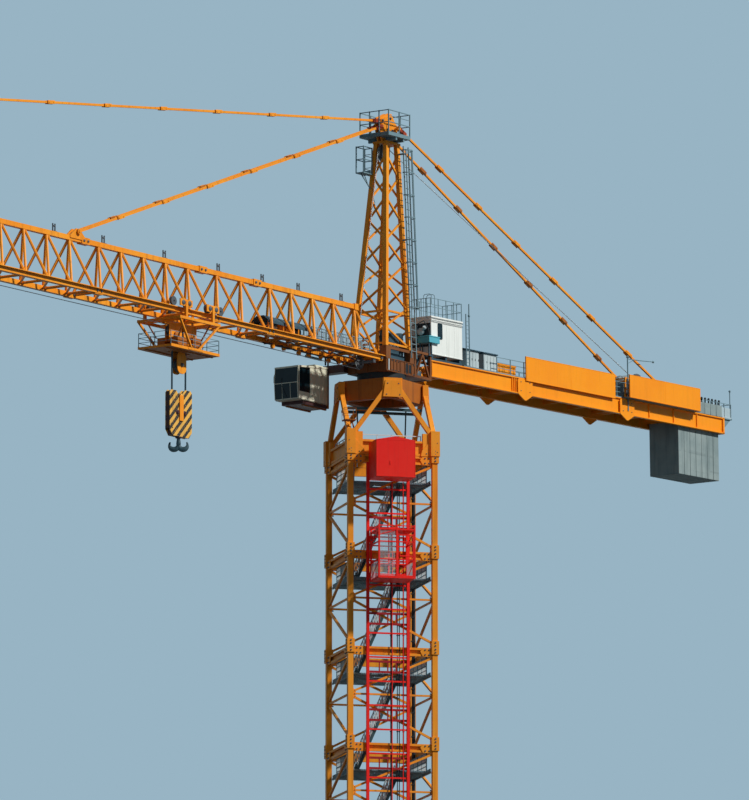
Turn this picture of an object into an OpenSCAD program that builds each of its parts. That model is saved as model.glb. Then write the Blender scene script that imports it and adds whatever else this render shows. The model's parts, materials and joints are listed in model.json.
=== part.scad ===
// Hammerhead tower crane at one tenth of its full size, in millimetres.
// The jib points along +X at rest, +Z is up, and the slewing axis is the Z axis.
// The origin lies in the middle of the foot frame's underside.

/* [Foot] */
// Edge of a square foot plate
foot_w = 92; // [80:1:110]
// Thickness of the foot plates and of the frame that ties them
foot_t = 10; // [6:1:14]
// Height of the foot frame up to the first mast section
foot_h = 45; // [40:1:60]
// Diameter of an anchor hole
anchor_d = 7; // [5:0.5:9]
// Diameter of the circle through the four anchor holes of a foot
anchor_circle = 96; // [90:1:100]

/* [Mast] */
// Height of one mast section
section_h = 480; // [420:5:540]
// Distance between the centres of two neighbouring legs
leg_pitch = 432; // [400:2:460]
// Width of a mast leg
leg_w = 27; // [22:1:32]
// Width of the thicker ends of the legs, where the sections are pinned
joint_w = 38; // [34:1:44]
// Height of the thicker ends of the legs
joint_h = 34; // [24:1:44]
// Height of the channel beam at the top of each face
girt_h = 42; // [30:1:50]
// Depth of the channel beam
girt_d = 16; // [12:1:20]
// Thickness of the flanges of the channel beam
girt_flange = 11; // [8:1:13]
// Thickness of the web of the channel beam
girt_web = 4; // [3:0.5:6]
// Width of the diagonal bars of a face
brace_w = 11; // [8:1:14]
// Width of the thin bar at half height of a face
mid_bar_w = 9; // [6:1:12]
// Angle by which the mast is turned away from the jib at rest
mast_yaw = 49.7; // [45:0.1:55]

/* [Mast platforms and stairs] */
// Height of a platform's underside above the foot of its section
platform_z = 342; // [300:5:380]
// Thickness of the platform plates
platform_t = 6; // [4:1:8]
// Height of the platforms' railings
rail_h = 92; // [70:1:110]
// Thickness of railing posts and rails
rail_w = 5; // [4:0.5:7]
// Length of the stair opening in a platform
stair_hole_l = 124; // [110:1:140]
// Distance between the outsides of a flight's stringers
stair_w = 62; // [54:1:70]
// Horizontal run of one flight
stair_run = 150; // [130:5:170]
// Distance from the mast's axis to the middle of a flight
stair_side = 70; // [60:1:80]
// Vertical pitch of the treads
tread_pitch = 29; // [24:1:36]
// Height of a flight's handrails over its stringers
handrail_h = 85; // [70:1:100]

/* [Mast head] */
// Height from the mast's top to the level of the jib's bottom chords
head_clear = 500; // [480:5:540]
// Height of the corner sockets on the mast's top
socket_h = 125; // [110:1:140]
// Width of the corner sockets
socket_w = 46; // [42:1:54]
// Width of the gusset plates beside the sockets
gusset_w = 62; // [50:1:80]
// Height of the beams between the sockets
ring_beam_h = 75; // [60:1:90]
// Width of the inclined struts
strut_w = 22; // [18:1:26]
// Width of the plates where two struts meet
apex_l = 96; // [80:1:110]
// Height of these plates
apex_h = 80; // [70:1:90]
// Thickness of these plates
apex_t = 28; // [26:1:34]
// Height of the box beams that carry the slewing ring
support_h = 102; // [90:1:110]
// Width of these box beams
support_w = 40; // [34:1:44]
// Outer radius of the slewing ring
slew_r = 122; // [114:1:130]
// Radial width of the slewing ring
slew_ring_w = 26; // [18:1:34]
// Height of each half of the slewing ring
slew_half_h = 20; // [16:1:24]
// Gap between the two halves of the slewing ring
slew_gap = 0.3; // [0.2:0.1:1]
// Width of the small landing at one corner of the mast head
landing_w = 72; // [60:1:80]

/* [Lift] */
// Distance of the lift's middle from the middle of the mast's front face
lift_offset = -27; // [-40:1:0]
// Distance between the two lift rails
lift_gauge = 206; // [200:1:214]
// Width of a lift rail
lift_rail_w = 14; // [10:1:16]
// Number of rungs between the rails on each mast section
rung_count = 4; // [3:1:6]
// Diameter of the two guide ropes in front of the rungs
guide_rope_d = 5; // [4:0.5:6]
// Width of the cage across the mast's face
cage_w = 190; // [180:1:192]
// Depth of the cage away from the mast
cage_d = 168; // [140:1:180]
// Height of the cage
cage_h = 268; // [240:1:300]
// Thickness of the cage's frame bars
cage_bar = 8; // [6:0.5:10]
// Height of the kerb rail on the cage's roof
cage_kerb = 20; // [12:1:30]
// Distance from the cage's floor at rest up to the mast's top
cage_drop = 645; // [620:5:700]
// Depth of the housing at the top of the lift rails
drive_d = 150; // [130:1:170]
// Width of this housing
drive_w = 200; // [180:1:204]
// Distance from this housing's floor up to the mast's top
drive_drop = 135; // [120:1:150]
// Height of its walls
drive_h = 185; // [160:1:210]
// Height of its roof ridge above the walls
drive_ridge = 18; // [10:1:26]

/* [Turntable] */
// Length of the turntable along the jib
turn_l = 250; // [244:1:260]
// Width of the turntable
turn_w = 236; // [230:1:250]
// Height of the turntable below the level of the jib's bottom chords
turn_h = 65; // [55:1:75]
// Height of the columns on the turntable that carry the tower head
column_h = 65; // [50:1:80]
// Width of these columns
column_w = 38; // [32:1:44]
// Height of the open side frames behind the turntable
side_frame_h = 137; // [120:1:150]
// Width of the bars of these side frames
side_frame_w = 12; // [10:1:16]

/* [Tower head] */
// Height of the tower head above its columns
head_h = 1050; // [980:5:1120]
// Distance between leg centres along the jib at the base
head_base_x = 206; // [190:1:212]
// Distance between leg centres across the jib at the base
head_base_y = 192; // [180:1:196]
// Distance between leg centres along the jib at the top
head_top_x = 92; // [86:1:100]
// Distance between leg centres across the jib at the top
head_top_y = 58; // [54:1:64]
// Distance by which the top stands back from the slewing axis
head_back = 44; // [30:1:56]
// Width of the tower head's legs
head_leg_w = 22; // [18:1:26]
// Width of its bracing bars
head_brace_w = 9; // [7:0.5:12]
// Height of the lowest bracing joint above the columns
brace_start = 100; // [80:1:120]
// Vertical distance between two neighbouring bracing joints
brace_step = 112; // [105:1:114]
// Height of the tie plates on the tower head
cap_h = 160; // [150:1:175]
// Thickness of a tie plate
cap_t = 8; // [6:0.5:10]
// Height of the outer jib tie's pin above the tower head's legs
outer_pin_h = 115; // [105:1:125]
// Height of the inner jib tie's pins above the tower head's legs
inner_pin_h = 86; // [80:1:92]
// Distance of the jib ties' pins in front of the tower head's middle
jib_pin_x = 66; // [60:1:72]
// Distance of the counter ties' pins behind the tower head's middle
counter_pin_x = 43; // [38:1:48]
// Diameter of the pins of all ties
pin_d = 14; // [11:0.5:16]
// Diameter of the hoist rope's sheave at the top of the tower head
head_sheave_d = 78; // [70:1:80]
// Length of the top platform along the jib
top_deck_l = 190; // [180:1:200]
// Width of the top platform
top_deck_w = 180; // [170:1:190]
// Height of the top platform's railings
top_rail_h = 126; // [110:1:140]
// Distance of the basket's floor below the top of the legs
basket_drop = 159; // [150:1:180]
// Distance between the rails of the tower head's ladder
ladder_w = 43; // [38:1:48]

/* [Jib] */
// Distance from the slewing axis to the start of the first section
jib_start_x = 126; // [120:1:136]
// Length of a long jib section
jib_section_l = 950; // [900:5:1000]
// Length of the short second section
jib_short_l = 450; // [400:5:500]
// Distance between the centres of the bottom chords
jib_gauge = 172; // [166:1:176]
// Height of the top chord above the bottom chords
jib_h = 250; // [235:1:270]
// Width of the chords
chord_w = 24; // [20:1:26]
// Diameter of the diagonal tubes
tube_d = 14; // [10:1:16]
// Distance from the end of a section to its first bottom joint
jib_end_gap = 25; // [20:1:35]
// Width of the ledges for the trolley's wheels
ledge_w = 14; // [12:1:16]
// Thickness of these ledges
ledge_t = 4; // [3:0.5:6]

/* [Inside the jib] */
// Width of the walkway
walk_w = 60; // [50:1:70]
// Length of the walkway
walk_l = 500; // [450:5:520]
// Distance from the jib's start to the trolley winch
winch_gap = 525; // [520:5:540]
// Length of the trolley winch's cover
winch_l = 385; // [360:5:395]

/* [Jib ties] */
// Width of the tie bars
tie_d = 9; // [6:0.5:12]
// Distance between the two bars of the inner tie
tie_gauge = 44; // [40:1:50]
// Length of one link of the inner tie
inner_link_l = 386; // [350:1:420]
// Length of one link of the outer tie
outer_link_l = 455; // [420:1:500]
// Distance from the slewing axis to the inner tie's foot on the top chord
inner_tie_x = 2540; // [2500:5:2600]
// Distance from the slewing axis to the outer tie's foot on the top chord
outer_tie_x = 7480; // [7440:5:7540]
// Height of the tie pins above the top chord's centre line
tie_lug_h = 36; // [32:1:42]

/* [Counter-jib] */
// Distance from the slewing axis to the root of the girders
counter_root_x = 272; // [268:1:280]
// Length of the inner pair of girders
counter_inner_l = 854; // [820:5:900]
// Length of the middle pair of girders
counter_middle_l = 935; // [900:5:960]
// Length of the outer pair of girders
counter_outer_l = 902; // [880:5:940]
// Distance between the girders' centre lines
girder_gauge = 210; // [200:1:216]
// Height of a girder
girder_h = 84; // [76:1:92]
// Width of a girder's flanges
girder_w = 22; // [18:1:24]
// Thickness of a girder's flanges
flange_t = 6; // [4:0.5:8]
// Angle by which the counter-jib rises towards its end
counter_rise = 1.3; // [1:0.1:1.6]
// Thickness of the deck plates
deck_t = 5; // [4:0.5:7]
// Height of the counter-jib's railings
deck_rail_h = 108; // [90:1:120]
// Width of the side walk along the outer girders
side_walk_w = 40; // [34:1:46]
// Length of the platform behind the girders' end
end_deck_l = 72; // [60:1:80]
// Distance from the girders' end back to the ties' feet
counter_tie_back = 463; // [450:1:480]
// Height of the ties' pins above the girders' top
counter_lug_h = 47; // [40:1:52]
// Distance between the counter ties' pins at the tower head
counter_pin_gauge = 90; // [84:1:96]
// Length of one link of a counter tie
counter_link_l = 360; // [320:1:400]

/* [Counterweight] */
// Number of concrete slabs
slab_count = 7; // [5:1:7]
// Thickness of one slab
slab_t = 53; // [48:0.5:54]
// Gap between two slabs
slab_gap = 1; // [0.5:0.5:2]
// Distance from the last slab to the girders' end
slab_end = 24; // [20:1:30]
// Height of a slab below the girders' top
slab_drop = 335; // [300:5:350]
// Height of a slab above the girders' top
slab_rise = 62; // [50:1:74]

/* [Machinery] */
// Distance of the machine house from the girders' root
house_gap = 6; // [4:1:12]
// Length of the machine house
house_l = 272; // [260:1:280]
// Width of the machine house
house_w = 226; // [210:1:230]
// Height of the machine house
house_h = 232; // [220:1:245]
// Length of a control cabinet
cabinet_l = 118; // [105:1:125]
// Height of a control cabinet
cabinet_h = 95; // [80:1:110]
// Diameter of the hoist winch's drum
drum_d = 110; // [100:1:120]
// Distance from the girders' root to the drum's axle
drum_x = 1962; // [1900:2:1980]

/* [Side boards] */
// Length of the inner board
board_1_l = 805; // [760:5:830]
// Height of the inner board
board_1_h = 125; // [110:1:135]
// Length of the outer board
board_2_l = 670; // [640:5:690]
// Height of the outer board
board_2_h = 112; // [100:1:125]

/* [Cab] */
// Length of the cab along the jib
cab_l = 260; // [240:1:270]
// Width of the cab
cab_w = 142; // [130:1:150]
// Height of the cab
cab_h = 205; // [190:1:215]
// Distance of the cab's inner wall from the jib's middle plane
cab_side = 215; // [210:1:225]
// Distance of the cab's rear wall from the slewing axis
cab_x = 160; // [156:1:170]
// Height of the cab's base
cab_base_h = 18; // [12:1:20]
// Length of the cab's big window along its side
cab_window_l = 88; // [80:1:100]

/* [Trolley] */
// Distance of the trolley from the slewing axis at rest
trolley_x = 1705; // [1600:5:1800]
// Distance between the middles of its two bogies
bogie_pitch = 278; // [260:1:290]
// Distance between the two wheels of a bogie
bogie_wheels = 104; // [96:1:110]
// Diameter of the trolley's wheels
wheel_d = 44; // [38:1:48]
// Height of the trolley's side frames below the chords
trolley_drop = 150; // [140:1:160]
// Length of the trolley's platform
trolley_deck_l = 395; // [360:1:420]
// Width of the trolley's platform
trolley_deck_w = 200; // [180:1:220]
// Height of the railing on the trolley's platform
trolley_rail_h = 76; // [60:1:90]

/* [Hook] */
// Distance between the two falls of the hoist rope
fall_gauge = 105; // [100:1:112]
// Diameter of the hoist rope
rope_d = 4; // [3:0.5:5]
// Distance from the trolley's sheave centres down to those of the hook block
rope_drop = 398; // [380:2:440]
// Pitch diameter of the trolley's and the block's sheaves
sheave_d = 46; // [42:1:48]
// Width of the sheaves
sheave_w = 12; // [9:1:14]
// Length of the hook block along the jib
block_l = 180; // [170:1:190]
// Height of the hook block's side plates
block_h = 236; // [220:1:250]
// Diameter of the hook's shank
shank_d = 15; // [12:0.5:18]
// Radius of each of the double hook's bowls
bowl_r = 24; // [20:1:28]

/* [Hidden] */
yellow = "#f79a10";
concrete = "#8c9896";
steel_dark = "#3a4a4e";
rail_grey = "#46626a";
lift_red = "#d42a22";
white = "#e4e6e0";
light_grey = "#9aa5a6";
glass_dark = "#0d2430";
rope_grey = "#b9bfc0";

mast_names = ["mast_section_1", "mast_section_2", "mast_section_3", "mast_section_4",
    "mast_section_5", "mast_section_6"];
jib_names = ["jib_section_1", "jib_section_2", "jib_section_3", "jib_section_4", "jib_section_5",
    "jib_section_6", "jib_section_7", "jib_section_8", "jib_section_9"];

// Clearances: between faces that meet, and between pieces that run past each other
face_gap = 0.3;
run_gap = 6;

// Heights and places worked out from the sizes above
section_count = len(mast_names);
mast_top = foot_h + section_count * section_h;
jib_z = mast_top + head_clear;
leg_c = leg_pitch / 2;
leg_inner = leg_c - leg_w / 2;
turn_z = jib_z - turn_h;
support_top = turn_z - 2 * slew_half_h - slew_gap;
apex_inner = leg_c - apex_t / 2;
support_half = (leg_c + support_w / 2) / sqrt(2) - 4;
column_top = jib_z + column_h;
head_top = column_top + head_h;

function lerp(a, b, t) = a + (b - a) * t;

// A bar of rectangular section between two points, w across and h in the upright plane
module beam(a, b, w, h) {
    d = b - a;
    translate(a)
        rotate([0, acos(d.z / norm(d)), atan2(d.y, d.x)])
            translate([-h / 2, -w / 2, 0])
                cube([h, w, norm(d)]);
}

// A steep square bar between two points, with its faces kept along X and Y
module upright(a, b, w) {
    d = b - a;
    translate(a)
        rotate([-asin(d.y / norm(d)), atan2(d.x, d.z), 0])
            translate([-w / 2, -w / 2, 0])
                cube([w, w, norm(d)]);
}

// A tube of few sides between two points
module rod(a, b, d, sides = 8) {
    v = b - a;
    translate(a)
        rotate([0, acos(v.z / norm(v)), atan2(v.y, v.x)])
            cylinder(d = d, h = norm(v), $fn = sides);
}

// A block centred on x and y that stands on its z
module block(size, at) {
    translate([at.x - size.x / 2, at.y - size.y / 2, at.z])
        cube(size);
}

// A round pin or disc along Y, centred at a point
module disc(d, w, at, sides = 32) {
    translate(at)
        rotate([90, 0, 0])
            cylinder(d = d, h = w, center = true, $fn = sides);
}

// A channel along Y with its open side towards +X, hung from z = 0 downwards
module girt(length, h, d, flange) {
    difference() {
        translate([-d / 2, -length / 2, -h])
            cube([d, length, h]);
        translate([-d / 2 + girt_web, -length / 2 - 1, -h + flange])
            cube([d, length + 2, h - 2 * flange]);
    }
}

// A railing along X with posts at a pitch near post_pitch, standing on z = 0
module railing(length, h, post_pitch = 95, mid = 0.5) {
    gaps = max(1, round(length / post_pitch));
    for (k = [0:gaps])
        block([rail_w, rail_w, h], [lerp(rail_w / 2, length - rail_w / 2, k / gaps), 0, 0]);
    for (z = [h - rail_w, (h - rail_w) * mid])
        translate([0, -rail_w / 2 + 0.5, z])
            cube([length, rail_w - 1, rail_w - 1]);
}

module on_mast(z) {
    rotate(mast_yaw)
        translate([0, 0, z])
            children();
}

// Foot frame: plates with anchor holes, tied by flat bars, with a stub for each leg
module foot_frame() {
    color(yellow)
        on_mast(0) {
            linear_extrude(foot_t)
                foot_outline();
            for (k = [0:3])
                rotate(90 * k) {
                    block([joint_w, joint_w, foot_h - foot_t - face_gap], [leg_c, leg_c, foot_t]);
                    translate([leg_c, 0, foot_h - 5])
                        girt(leg_pitch - leg_w, foot_h - 5 - foot_t / 2, girt_d, girt_flange);
                }
        }
}

module foot_outline() {
    difference() {
        union() {
            difference() {
                square(leg_pitch + joint_w, center = true);
                square(leg_pitch - joint_w, center = true);
            }
            for (x = [-leg_c, leg_c], y = [-leg_c, leg_c])
                translate([x, y])
                    square(foot_w, center = true);
        }
        for (x = [-leg_c, leg_c], y = [-leg_c, leg_c], k = [0:3])
            translate([x, y])
                rotate(45 + 90 * k)
                    translate([anchor_circle / 2, 0])
                        circle(d = anchor_d, $fn = 24);
    }
}

// One mast section: four legs, and on each face a channel, a thin bar and a K of diagonals
module mast_section(i) {
    color(yellow)
        on_mast(foot_h + i * section_h)
            for (k = [0:3])
                rotate(90 * k) {
                    mast_leg();
                    mast_face();
                }
}

module mast_leg() {
    block([leg_w, leg_w, section_h - face_gap], [leg_c, -leg_c, 0]);
    block([joint_w, joint_w, joint_h], [leg_c, -leg_c, 0]);
    block([joint_w, joint_w, joint_h - face_gap], [leg_c, -leg_c, section_h - joint_h]);
}

module mast_face() {
    low = 18;
    high = section_h - girt_h - 4;
    mid = section_h / 2;
    translate([leg_c, 0, section_h - 2])
        girt(leg_pitch - leg_w + 4, girt_h, girt_d, girt_flange);
    beam([leg_c, -leg_c, mid], [leg_c, leg_c, mid], mid_bar_w, mid_bar_w);
    beam([leg_c, -leg_c, mid + 6], [leg_c, leg_c, high], brace_w, brace_w);
    beam([leg_c, -leg_c, mid - 6], [leg_c, leg_c, low], brace_w, brace_w);
    node_plate(-leg_c, mid, 46, 1);
    node_plate(leg_c, mid, 30, -1);
}

// Gusset on a leg at half height of a face
module node_plate(y, z, size, side) {
    translate([leg_c - 3, y, z])
        rotate([90, 0, 90])
            linear_extrude(6)
                polygon([[0, size], [side * size * 0.62, size * 0.3], [side * size * 0.62, -size * 0.3],
                    [0, -size]]);
}

function deck_level(i) = foot_h + i * section_h + platform_z + platform_t;
platform_half = leg_inner - face_gap;

// Platforms inside the mast, one in each section, with an opening for the flight from below
module mast_platforms() {
    rail_l = 2 * platform_half - 60;
    color(rail_grey)
        for (i = [0:section_count - 1])
            on_mast(deck_level(i))
                rotate(180 * i) {
                    difference() {
                        block([2 * platform_half, 2 * platform_half, platform_t], [0, 0, -platform_t]);
                        block([stair_hole_l, stair_w + 2 * run_gap, platform_t + 2],
                            [stair_run / 2 + face_gap - stair_hole_l / 2, stair_side, -platform_t - 1]);
                    }
                    for (s = [-1, 1])
                        translate([-rail_l / 2, s * (platform_half - 16), -1])
                            railing(rail_l, rail_h + 1);
                }
}

// Steep flights with handrails, each through the opening of the platform above it
module mast_stairs() {
    color(rail_grey)
        for (i = [0:section_count - 1]) {
            foot = i == 0 ? 0 : deck_level(i - 1) + face_gap;
            on_mast(foot)
                rotate(180 * i)
                    translate([0, stair_side, 0])
                        stair_flight(deck_level(i) - foot);
        }
}

module stair_flight(rise) {
    half = stair_run / 2;
    steps = round(rise / tread_pitch);
    intersection() {
        union() {
            for (y = [-1, 1] * (stair_w - rail_w) / 2)
                beam([-half, y, 0], [half, y, rise], rail_w, 16);
            for (k = [1:steps - 1])
                block([15, stair_w - 2, 3], [lerp(-half, half, k / steps), 0, rise * k / steps]);
        }
        translate([-half - 6, -stair_w, 0])
            cube([stair_run + 6, 2 * stair_w, rise]);
    }
    for (y = [-1, 1] * (stair_w - rail_w) / 2) {
        beam([-half + 12, y, handrail_h + 12], [half - 4, y, handrail_h + rise - 40], 4, 4);
        for (t = [0.12, 0.5, 0.88])
            block([4, 4, handrail_h + 14], [lerp(-half, half, t), y, rise * t - 6]);
    }
}

// Small landing with hoops of railing at one corner of the mast head
module top_platform() {
    landing_z = mast_top + socket_h;
    color(rail_grey)
        on_mast(landing_z) {
            block([landing_w, landing_w, platform_t], [leg_c + 8, -leg_c - 8, 40]);
            block([14, 14, 42 - face_gap], [leg_c, -leg_c, face_gap]);
            for (x = [-1, 1], y = [-1, 1])
                block([rail_w, rail_w, 90], [leg_c + 8 + x * (landing_w - rail_w) / 2,
                    -leg_c - 8 + y * (landing_w - rail_w) / 2, 41]);
            for (z = [80, 126], k = [0:3])
                translate([leg_c + 8, -leg_c - 8, z])
                    rotate(90 * k)
                        block([4, landing_w, 4], [(landing_w - 4) / 2 - 0.5, 0, 0]);
        }
}

// Mast head: corner sockets, deep beams between them and inclined struts to the ring support
module mast_head() {
    apex_z = support_top - support_h - mast_top + 16;
    color(yellow)
        on_mast(mast_top)
            for (k = [0:3])
                rotate(90 * k) {
                    block([socket_w, socket_w, socket_h], [leg_c, leg_c, 0]);
                    for (s = [-1, 1])
                        block([girt_d + 4, gusset_w, socket_h - 12], [leg_c, s * (leg_c - gusset_w / 2), 0]);
                    translate([leg_c, 0, ring_beam_h])
                        girt(leg_pitch - leg_w, ring_beam_h, girt_d, girt_flange);
                    for (s = [-1, 1])
                        beam([leg_c, s * (leg_c - 14), socket_h - 22], [leg_c, s * 24, apex_z + apex_h / 2],
                            strut_w, strut_w);
                    block([apex_t, apex_l, apex_h], [leg_c, 0, apex_z]);
                }
}

// Square frame of box beams, turned half a right angle to the mast, that carries the slewing ring.
// Its corners are cut flat where the apex plates of the mast head meet them.
module ring_support() {
    top_plate = 18;
    hollow = support_half - support_w;
    color(yellow)
        on_mast(support_top - support_h)
            difference() {
                intersection() {
                    rotate(45)
                        block([2 * support_half, 2 * support_half, support_h], [0, 0, 0]);
                    block([2 * (apex_inner - face_gap), 2 * (apex_inner - face_gap), support_h], [0, 0, 0]);
                }
                rotate(45)
                    block([2 * hollow, 2 * hollow, support_h - top_plate + 1], [0, 0, -1]);
                translate([0, 0, -1])
                    cylinder(r = slew_r - slew_ring_w, h = support_h + 2, $fn = 64);
            }
}

module slew_half(z) {
    translate([0, 0, z])
        difference() {
            cylinder(r = slew_r, h = slew_half_h, $fn = 64);
            translate([0, 0, -1])
                cylinder(r = slew_r - slew_ring_w, h = slew_half_h + 2, $fn = 64);
        }
}

module slewing_ring_lower() {
    color(steel_dark)
        slew_half(support_top);
}

module slewing_ring_upper() {
    color(steel_dark)
        slew_half(support_top + slew_half_h + slew_gap);
}

lift_x = leg_c + girt_d / 2 + face_gap;

// Rails of the lift on the mast's front face, with rungs between them and two guide ropes
module lift_rails() {
    bottom = foot_h;
    top = mast_top - drive_drop + drive_h / 2;
    pitch = section_h / rung_count;
    color(lift_red)
        on_mast(0) {
            for (s = [-1, 1])
                block([lift_rail_w, lift_rail_w, top - bottom],
                    [lift_x + lift_rail_w / 2, lift_offset + s * lift_gauge / 2, bottom]);
            for (i = [0:section_count * rung_count - 1])
                block([6, lift_gauge, 8], [lift_x + lift_rail_w / 2, lift_offset,
                    foot_h + (i + 0.5) * pitch]);
            for (y = [-6, 50])
                translate([lift_x + lift_rail_w / 2 + 3, y, bottom])
                    cylinder(d = guide_rope_d, h = mast_top - drive_drop - bottom - face_gap, $fn = 6);
        }
}

// Closed housing at the top of the lift rails
module lift_drive() {
    color(lift_red)
        on_mast(mast_top - drive_drop)
            translate([lift_x + lift_rail_w + face_gap, lift_offset, 0])
                rotate([90, 0, 90])
                    linear_extrude(drive_d)
                        polygon([[-drive_w / 2, 0], [drive_w / 2, 0], [drive_w / 2, drive_h],
                            [0, drive_h + drive_ridge], [-drive_w / 2, drive_h]]);
}

// Cage of the lift: a frame of bars on a floor plate under a roof plate with a kerb rail
module lift_cage() {
    half_d = (cage_d - cage_bar) / 2;
    half_w = (cage_w - cage_bar) / 2;
    color(lift_red)
        on_mast(mast_top - cage_drop)
            translate([lift_x + lift_rail_w + run_gap + cage_d / 2, lift_offset, 0]) {
                block([cage_d, cage_w, 10], [0, 0, 0]);
                block([cage_d - 1, cage_w - 1, 7], [0, 0, cage_h - cage_kerb - 7]);
                for (sx = [-1, 1], sy = [-1, 0, 1])
                    block([cage_bar, cage_bar, cage_h - 9], [sx * half_d, sy * half_w, 9]);
                for (sy = [-1, 1], z = [0.34, 0.67])
                    block([cage_d - 4, cage_bar - 2, cage_bar - 2], [0, sy * half_w, cage_h * z]);
                for (sx = [-1, 1], z = [0.34, 0.67])
                    block([cage_bar - 2, cage_w - 4, cage_bar - 2], [sx * half_d, 0, cage_h * z]);
                for (sy = [-1, 1])
                    block([cage_d - 4, cage_bar - 3, cage_bar - 3], [0, sy * half_w, cage_h - cage_bar]);
                for (sx = [-1, 1])
                    block([cage_bar - 3, cage_w - 4, cage_bar - 3], [sx * half_d, 0, cage_h - cage_bar]);
                for (s = [-1, 1], z = [20, cage_h - cage_kerb - 50])
                    translate([-cage_d / 2 - run_gap + face_gap, s * (cage_w / 2 - 7) - 9, z])
                        cube([run_gap + 4, 18, 30]);
            }
}

// Turntable: a box on the slewing ring, four columns with rails, and open side frames behind it
module turntable() {
    rail_l = head_base_x;
    color(yellow)
        translate([0, 0, turn_z]) {
            difference() {
                block([turn_l, turn_w, turn_h], [0, 0, 0]);
                translate([0, 0, -1])
                    cylinder(r = slew_r - slew_ring_w, h = turn_h + 2, $fn = 64);
            }
            for (sx = [-1, 1], sy = [-1, 1])
                block([column_w, column_w, column_h + 1], [sx * head_base_x / 2, sy * head_base_y / 2,
                    turn_h - 1]);
            for (sy = [-1, 1])
                block([rail_l, 10, 14], [0, sy * (turn_w / 2 - 8), turn_h + column_h - 16]);
            rear_frame();
        }
}

rear_x0 = -turn_l / 2;
rear_x1 = -counter_root_x + face_gap + girder_h / 2 * tan(counter_rise);
rear_y = (girder_gauge + girder_w) / 2 - side_frame_w / 2;

// Side frames behind the turntable, each with an inverted V, tied by cross beams
module rear_frame() {
    w = side_frame_w;
    mid_x = (rear_x0 + rear_x1) / 2;
    for (s = [-1, 1]) {
        for (z = [0, side_frame_h - w])
            translate([rear_x1, s * rear_y - w / 2, z])
                cube([rear_x0 - rear_x1 + 2, w, w]);
        for (x = [rear_x1 + w / 2, rear_x0 - w / 2])
            block([w, w, side_frame_h - 2], [x, s * rear_y, 1]);
        for (x = [rear_x1 + w, rear_x0 - w])
            beam([x, s * rear_y, w / 2], [mid_x, s * rear_y, side_frame_h - w], w - 3, w - 3);
    }
    for (z = [1, side_frame_h - w - 1])
        block([w - 2, 2 * rear_y, w - 2], [rear_x1 + w / 2, 0, z]);
    block([rear_x0 - rear_x1 - w, 2 * rear_y, 4], [mid_x, 0, 4]);
}

// Slewing motors and a switch box between the tower head's feet, and a gear in the rear frame
module slewing_drives() {
    color(steel_dark) {
        translate([-40, head_base_y / 2 - 62, jib_z + face_gap])
            cube([84, 44, 96]);
        for (x = [-76, 62])
            translate([x, head_base_y / 2 - 42, jib_z + face_gap]) {
                cylinder(d = 34, h = 92, $fn = 24);
                cylinder(d = 44, h = 22, $fn = 24);
            }
        translate([(rear_x0 + rear_x1) / 2, rear_y - 44, turn_z + 8 + face_gap]) {
            cylinder(d = 62, h = 34, $fn = 24);
            cylinder(d = 36, h = 96, $fn = 24);
        }
    }
}

function head_corner(sx, sy, z) = [
    lerp(sx * head_base_x / 2, sx * head_top_x / 2 - head_back, (z - column_h) / head_h),
    lerp(sy * head_base_y / 2, sy * head_top_y / 2, (z - column_h) / head_h),
    jib_z + z];

// Height of bracing joint k above the level of the jib's bottom chords
function brace_z(k) = column_h + brace_start + k * brace_step;

// Tower head: four leaning legs, and on each side one zigzag between even and odd joints
module tower_head() {
    last = floor((head_h - brace_start) / brace_step);
    sides = [[[1, 1], [1, -1]], [[1, 1], [-1, 1]], [[1, -1], [-1, -1]], [[-1, 1], [-1, -1]]];
    color(yellow) {
        for (sx = [-1, 1], sy = [-1, 1])
            intersection() {
                upright(head_corner(sx, sy, column_h - 20), head_corner(sx, sy, column_h + head_h + 20),
                    head_leg_w);
                block([2 * head_base_x, 2 * head_base_y, head_h - face_gap], [0, 0, column_top + face_gap]);
            }
        for (side = sides) {
            a = side[0];
            b = side[1];
            for (k = [0:last - 1])
                beam(head_corner(a.x, a.y, brace_z(k % 2 == 0 ? k : k + 1)),
                    head_corner(b.x, b.y, brace_z(k % 2 == 0 ? k + 1 : k)), head_brace_w, head_brace_w);
            beam(head_corner(a.x, a.y, brace_z(0)), head_corner(b.x, b.y, column_h + 14),
                head_brace_w, head_brace_w);
            for (z = [column_h + 16, brace_z(0.75)])
                beam(head_corner(a.x, a.y, z), head_corner(b.x, b.y, z), head_brace_w + 1, head_brace_w + 1);
        }
    }
}

outer_pin = [-head_back + jib_pin_x, head_top + outer_pin_h];
inner_pin = [-head_back + jib_pin_x, head_top + inner_pin_h];
counter_pin = [-head_back - counter_pin_x, head_top + inner_pin_h];
plate_y = 12;

// Cap of the tower head: a base plate and two upright plates with the pins of all ties
module head_cap() {
    l = head_top_x + head_leg_w + 6;
    color(yellow)
        translate([-head_back, 0, head_top + face_gap]) {
            block([l, head_top_y + head_leg_w + 6, 12], [0, 0, 0]);
            for (s = [-1, 1])
                translate([0, s * plate_y + cap_t / 2, 0])
                    rotate([90, 0, 0])
                        linear_extrude(cap_t)
                            polygon([[-l / 2, 11], [l / 2, 11], [jib_pin_x + 14, inner_pin_h - 14],
                                [jib_pin_x + 14, outer_pin_h + 14], [10, cap_h], [-20, cap_h],
                                [-counter_pin_x - 20, inner_pin_h + 16], [-counter_pin_x - 20,
                                inner_pin_h - 16]]);
            disc(pin_d, 2 * plate_y, [jib_pin_x, 0, outer_pin_h - face_gap]);
            disc(pin_d, tie_gauge + tie_d + 6, [jib_pin_x, 0, inner_pin_h - face_gap]);
            disc(pin_d, counter_pin_gauge + tie_d + 6, [-counter_pin_x, 0, inner_pin_h - face_gap]);
            disc(10, 2 * plate_y, [0, 0, cap_h - 26]);
        }
}

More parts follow.
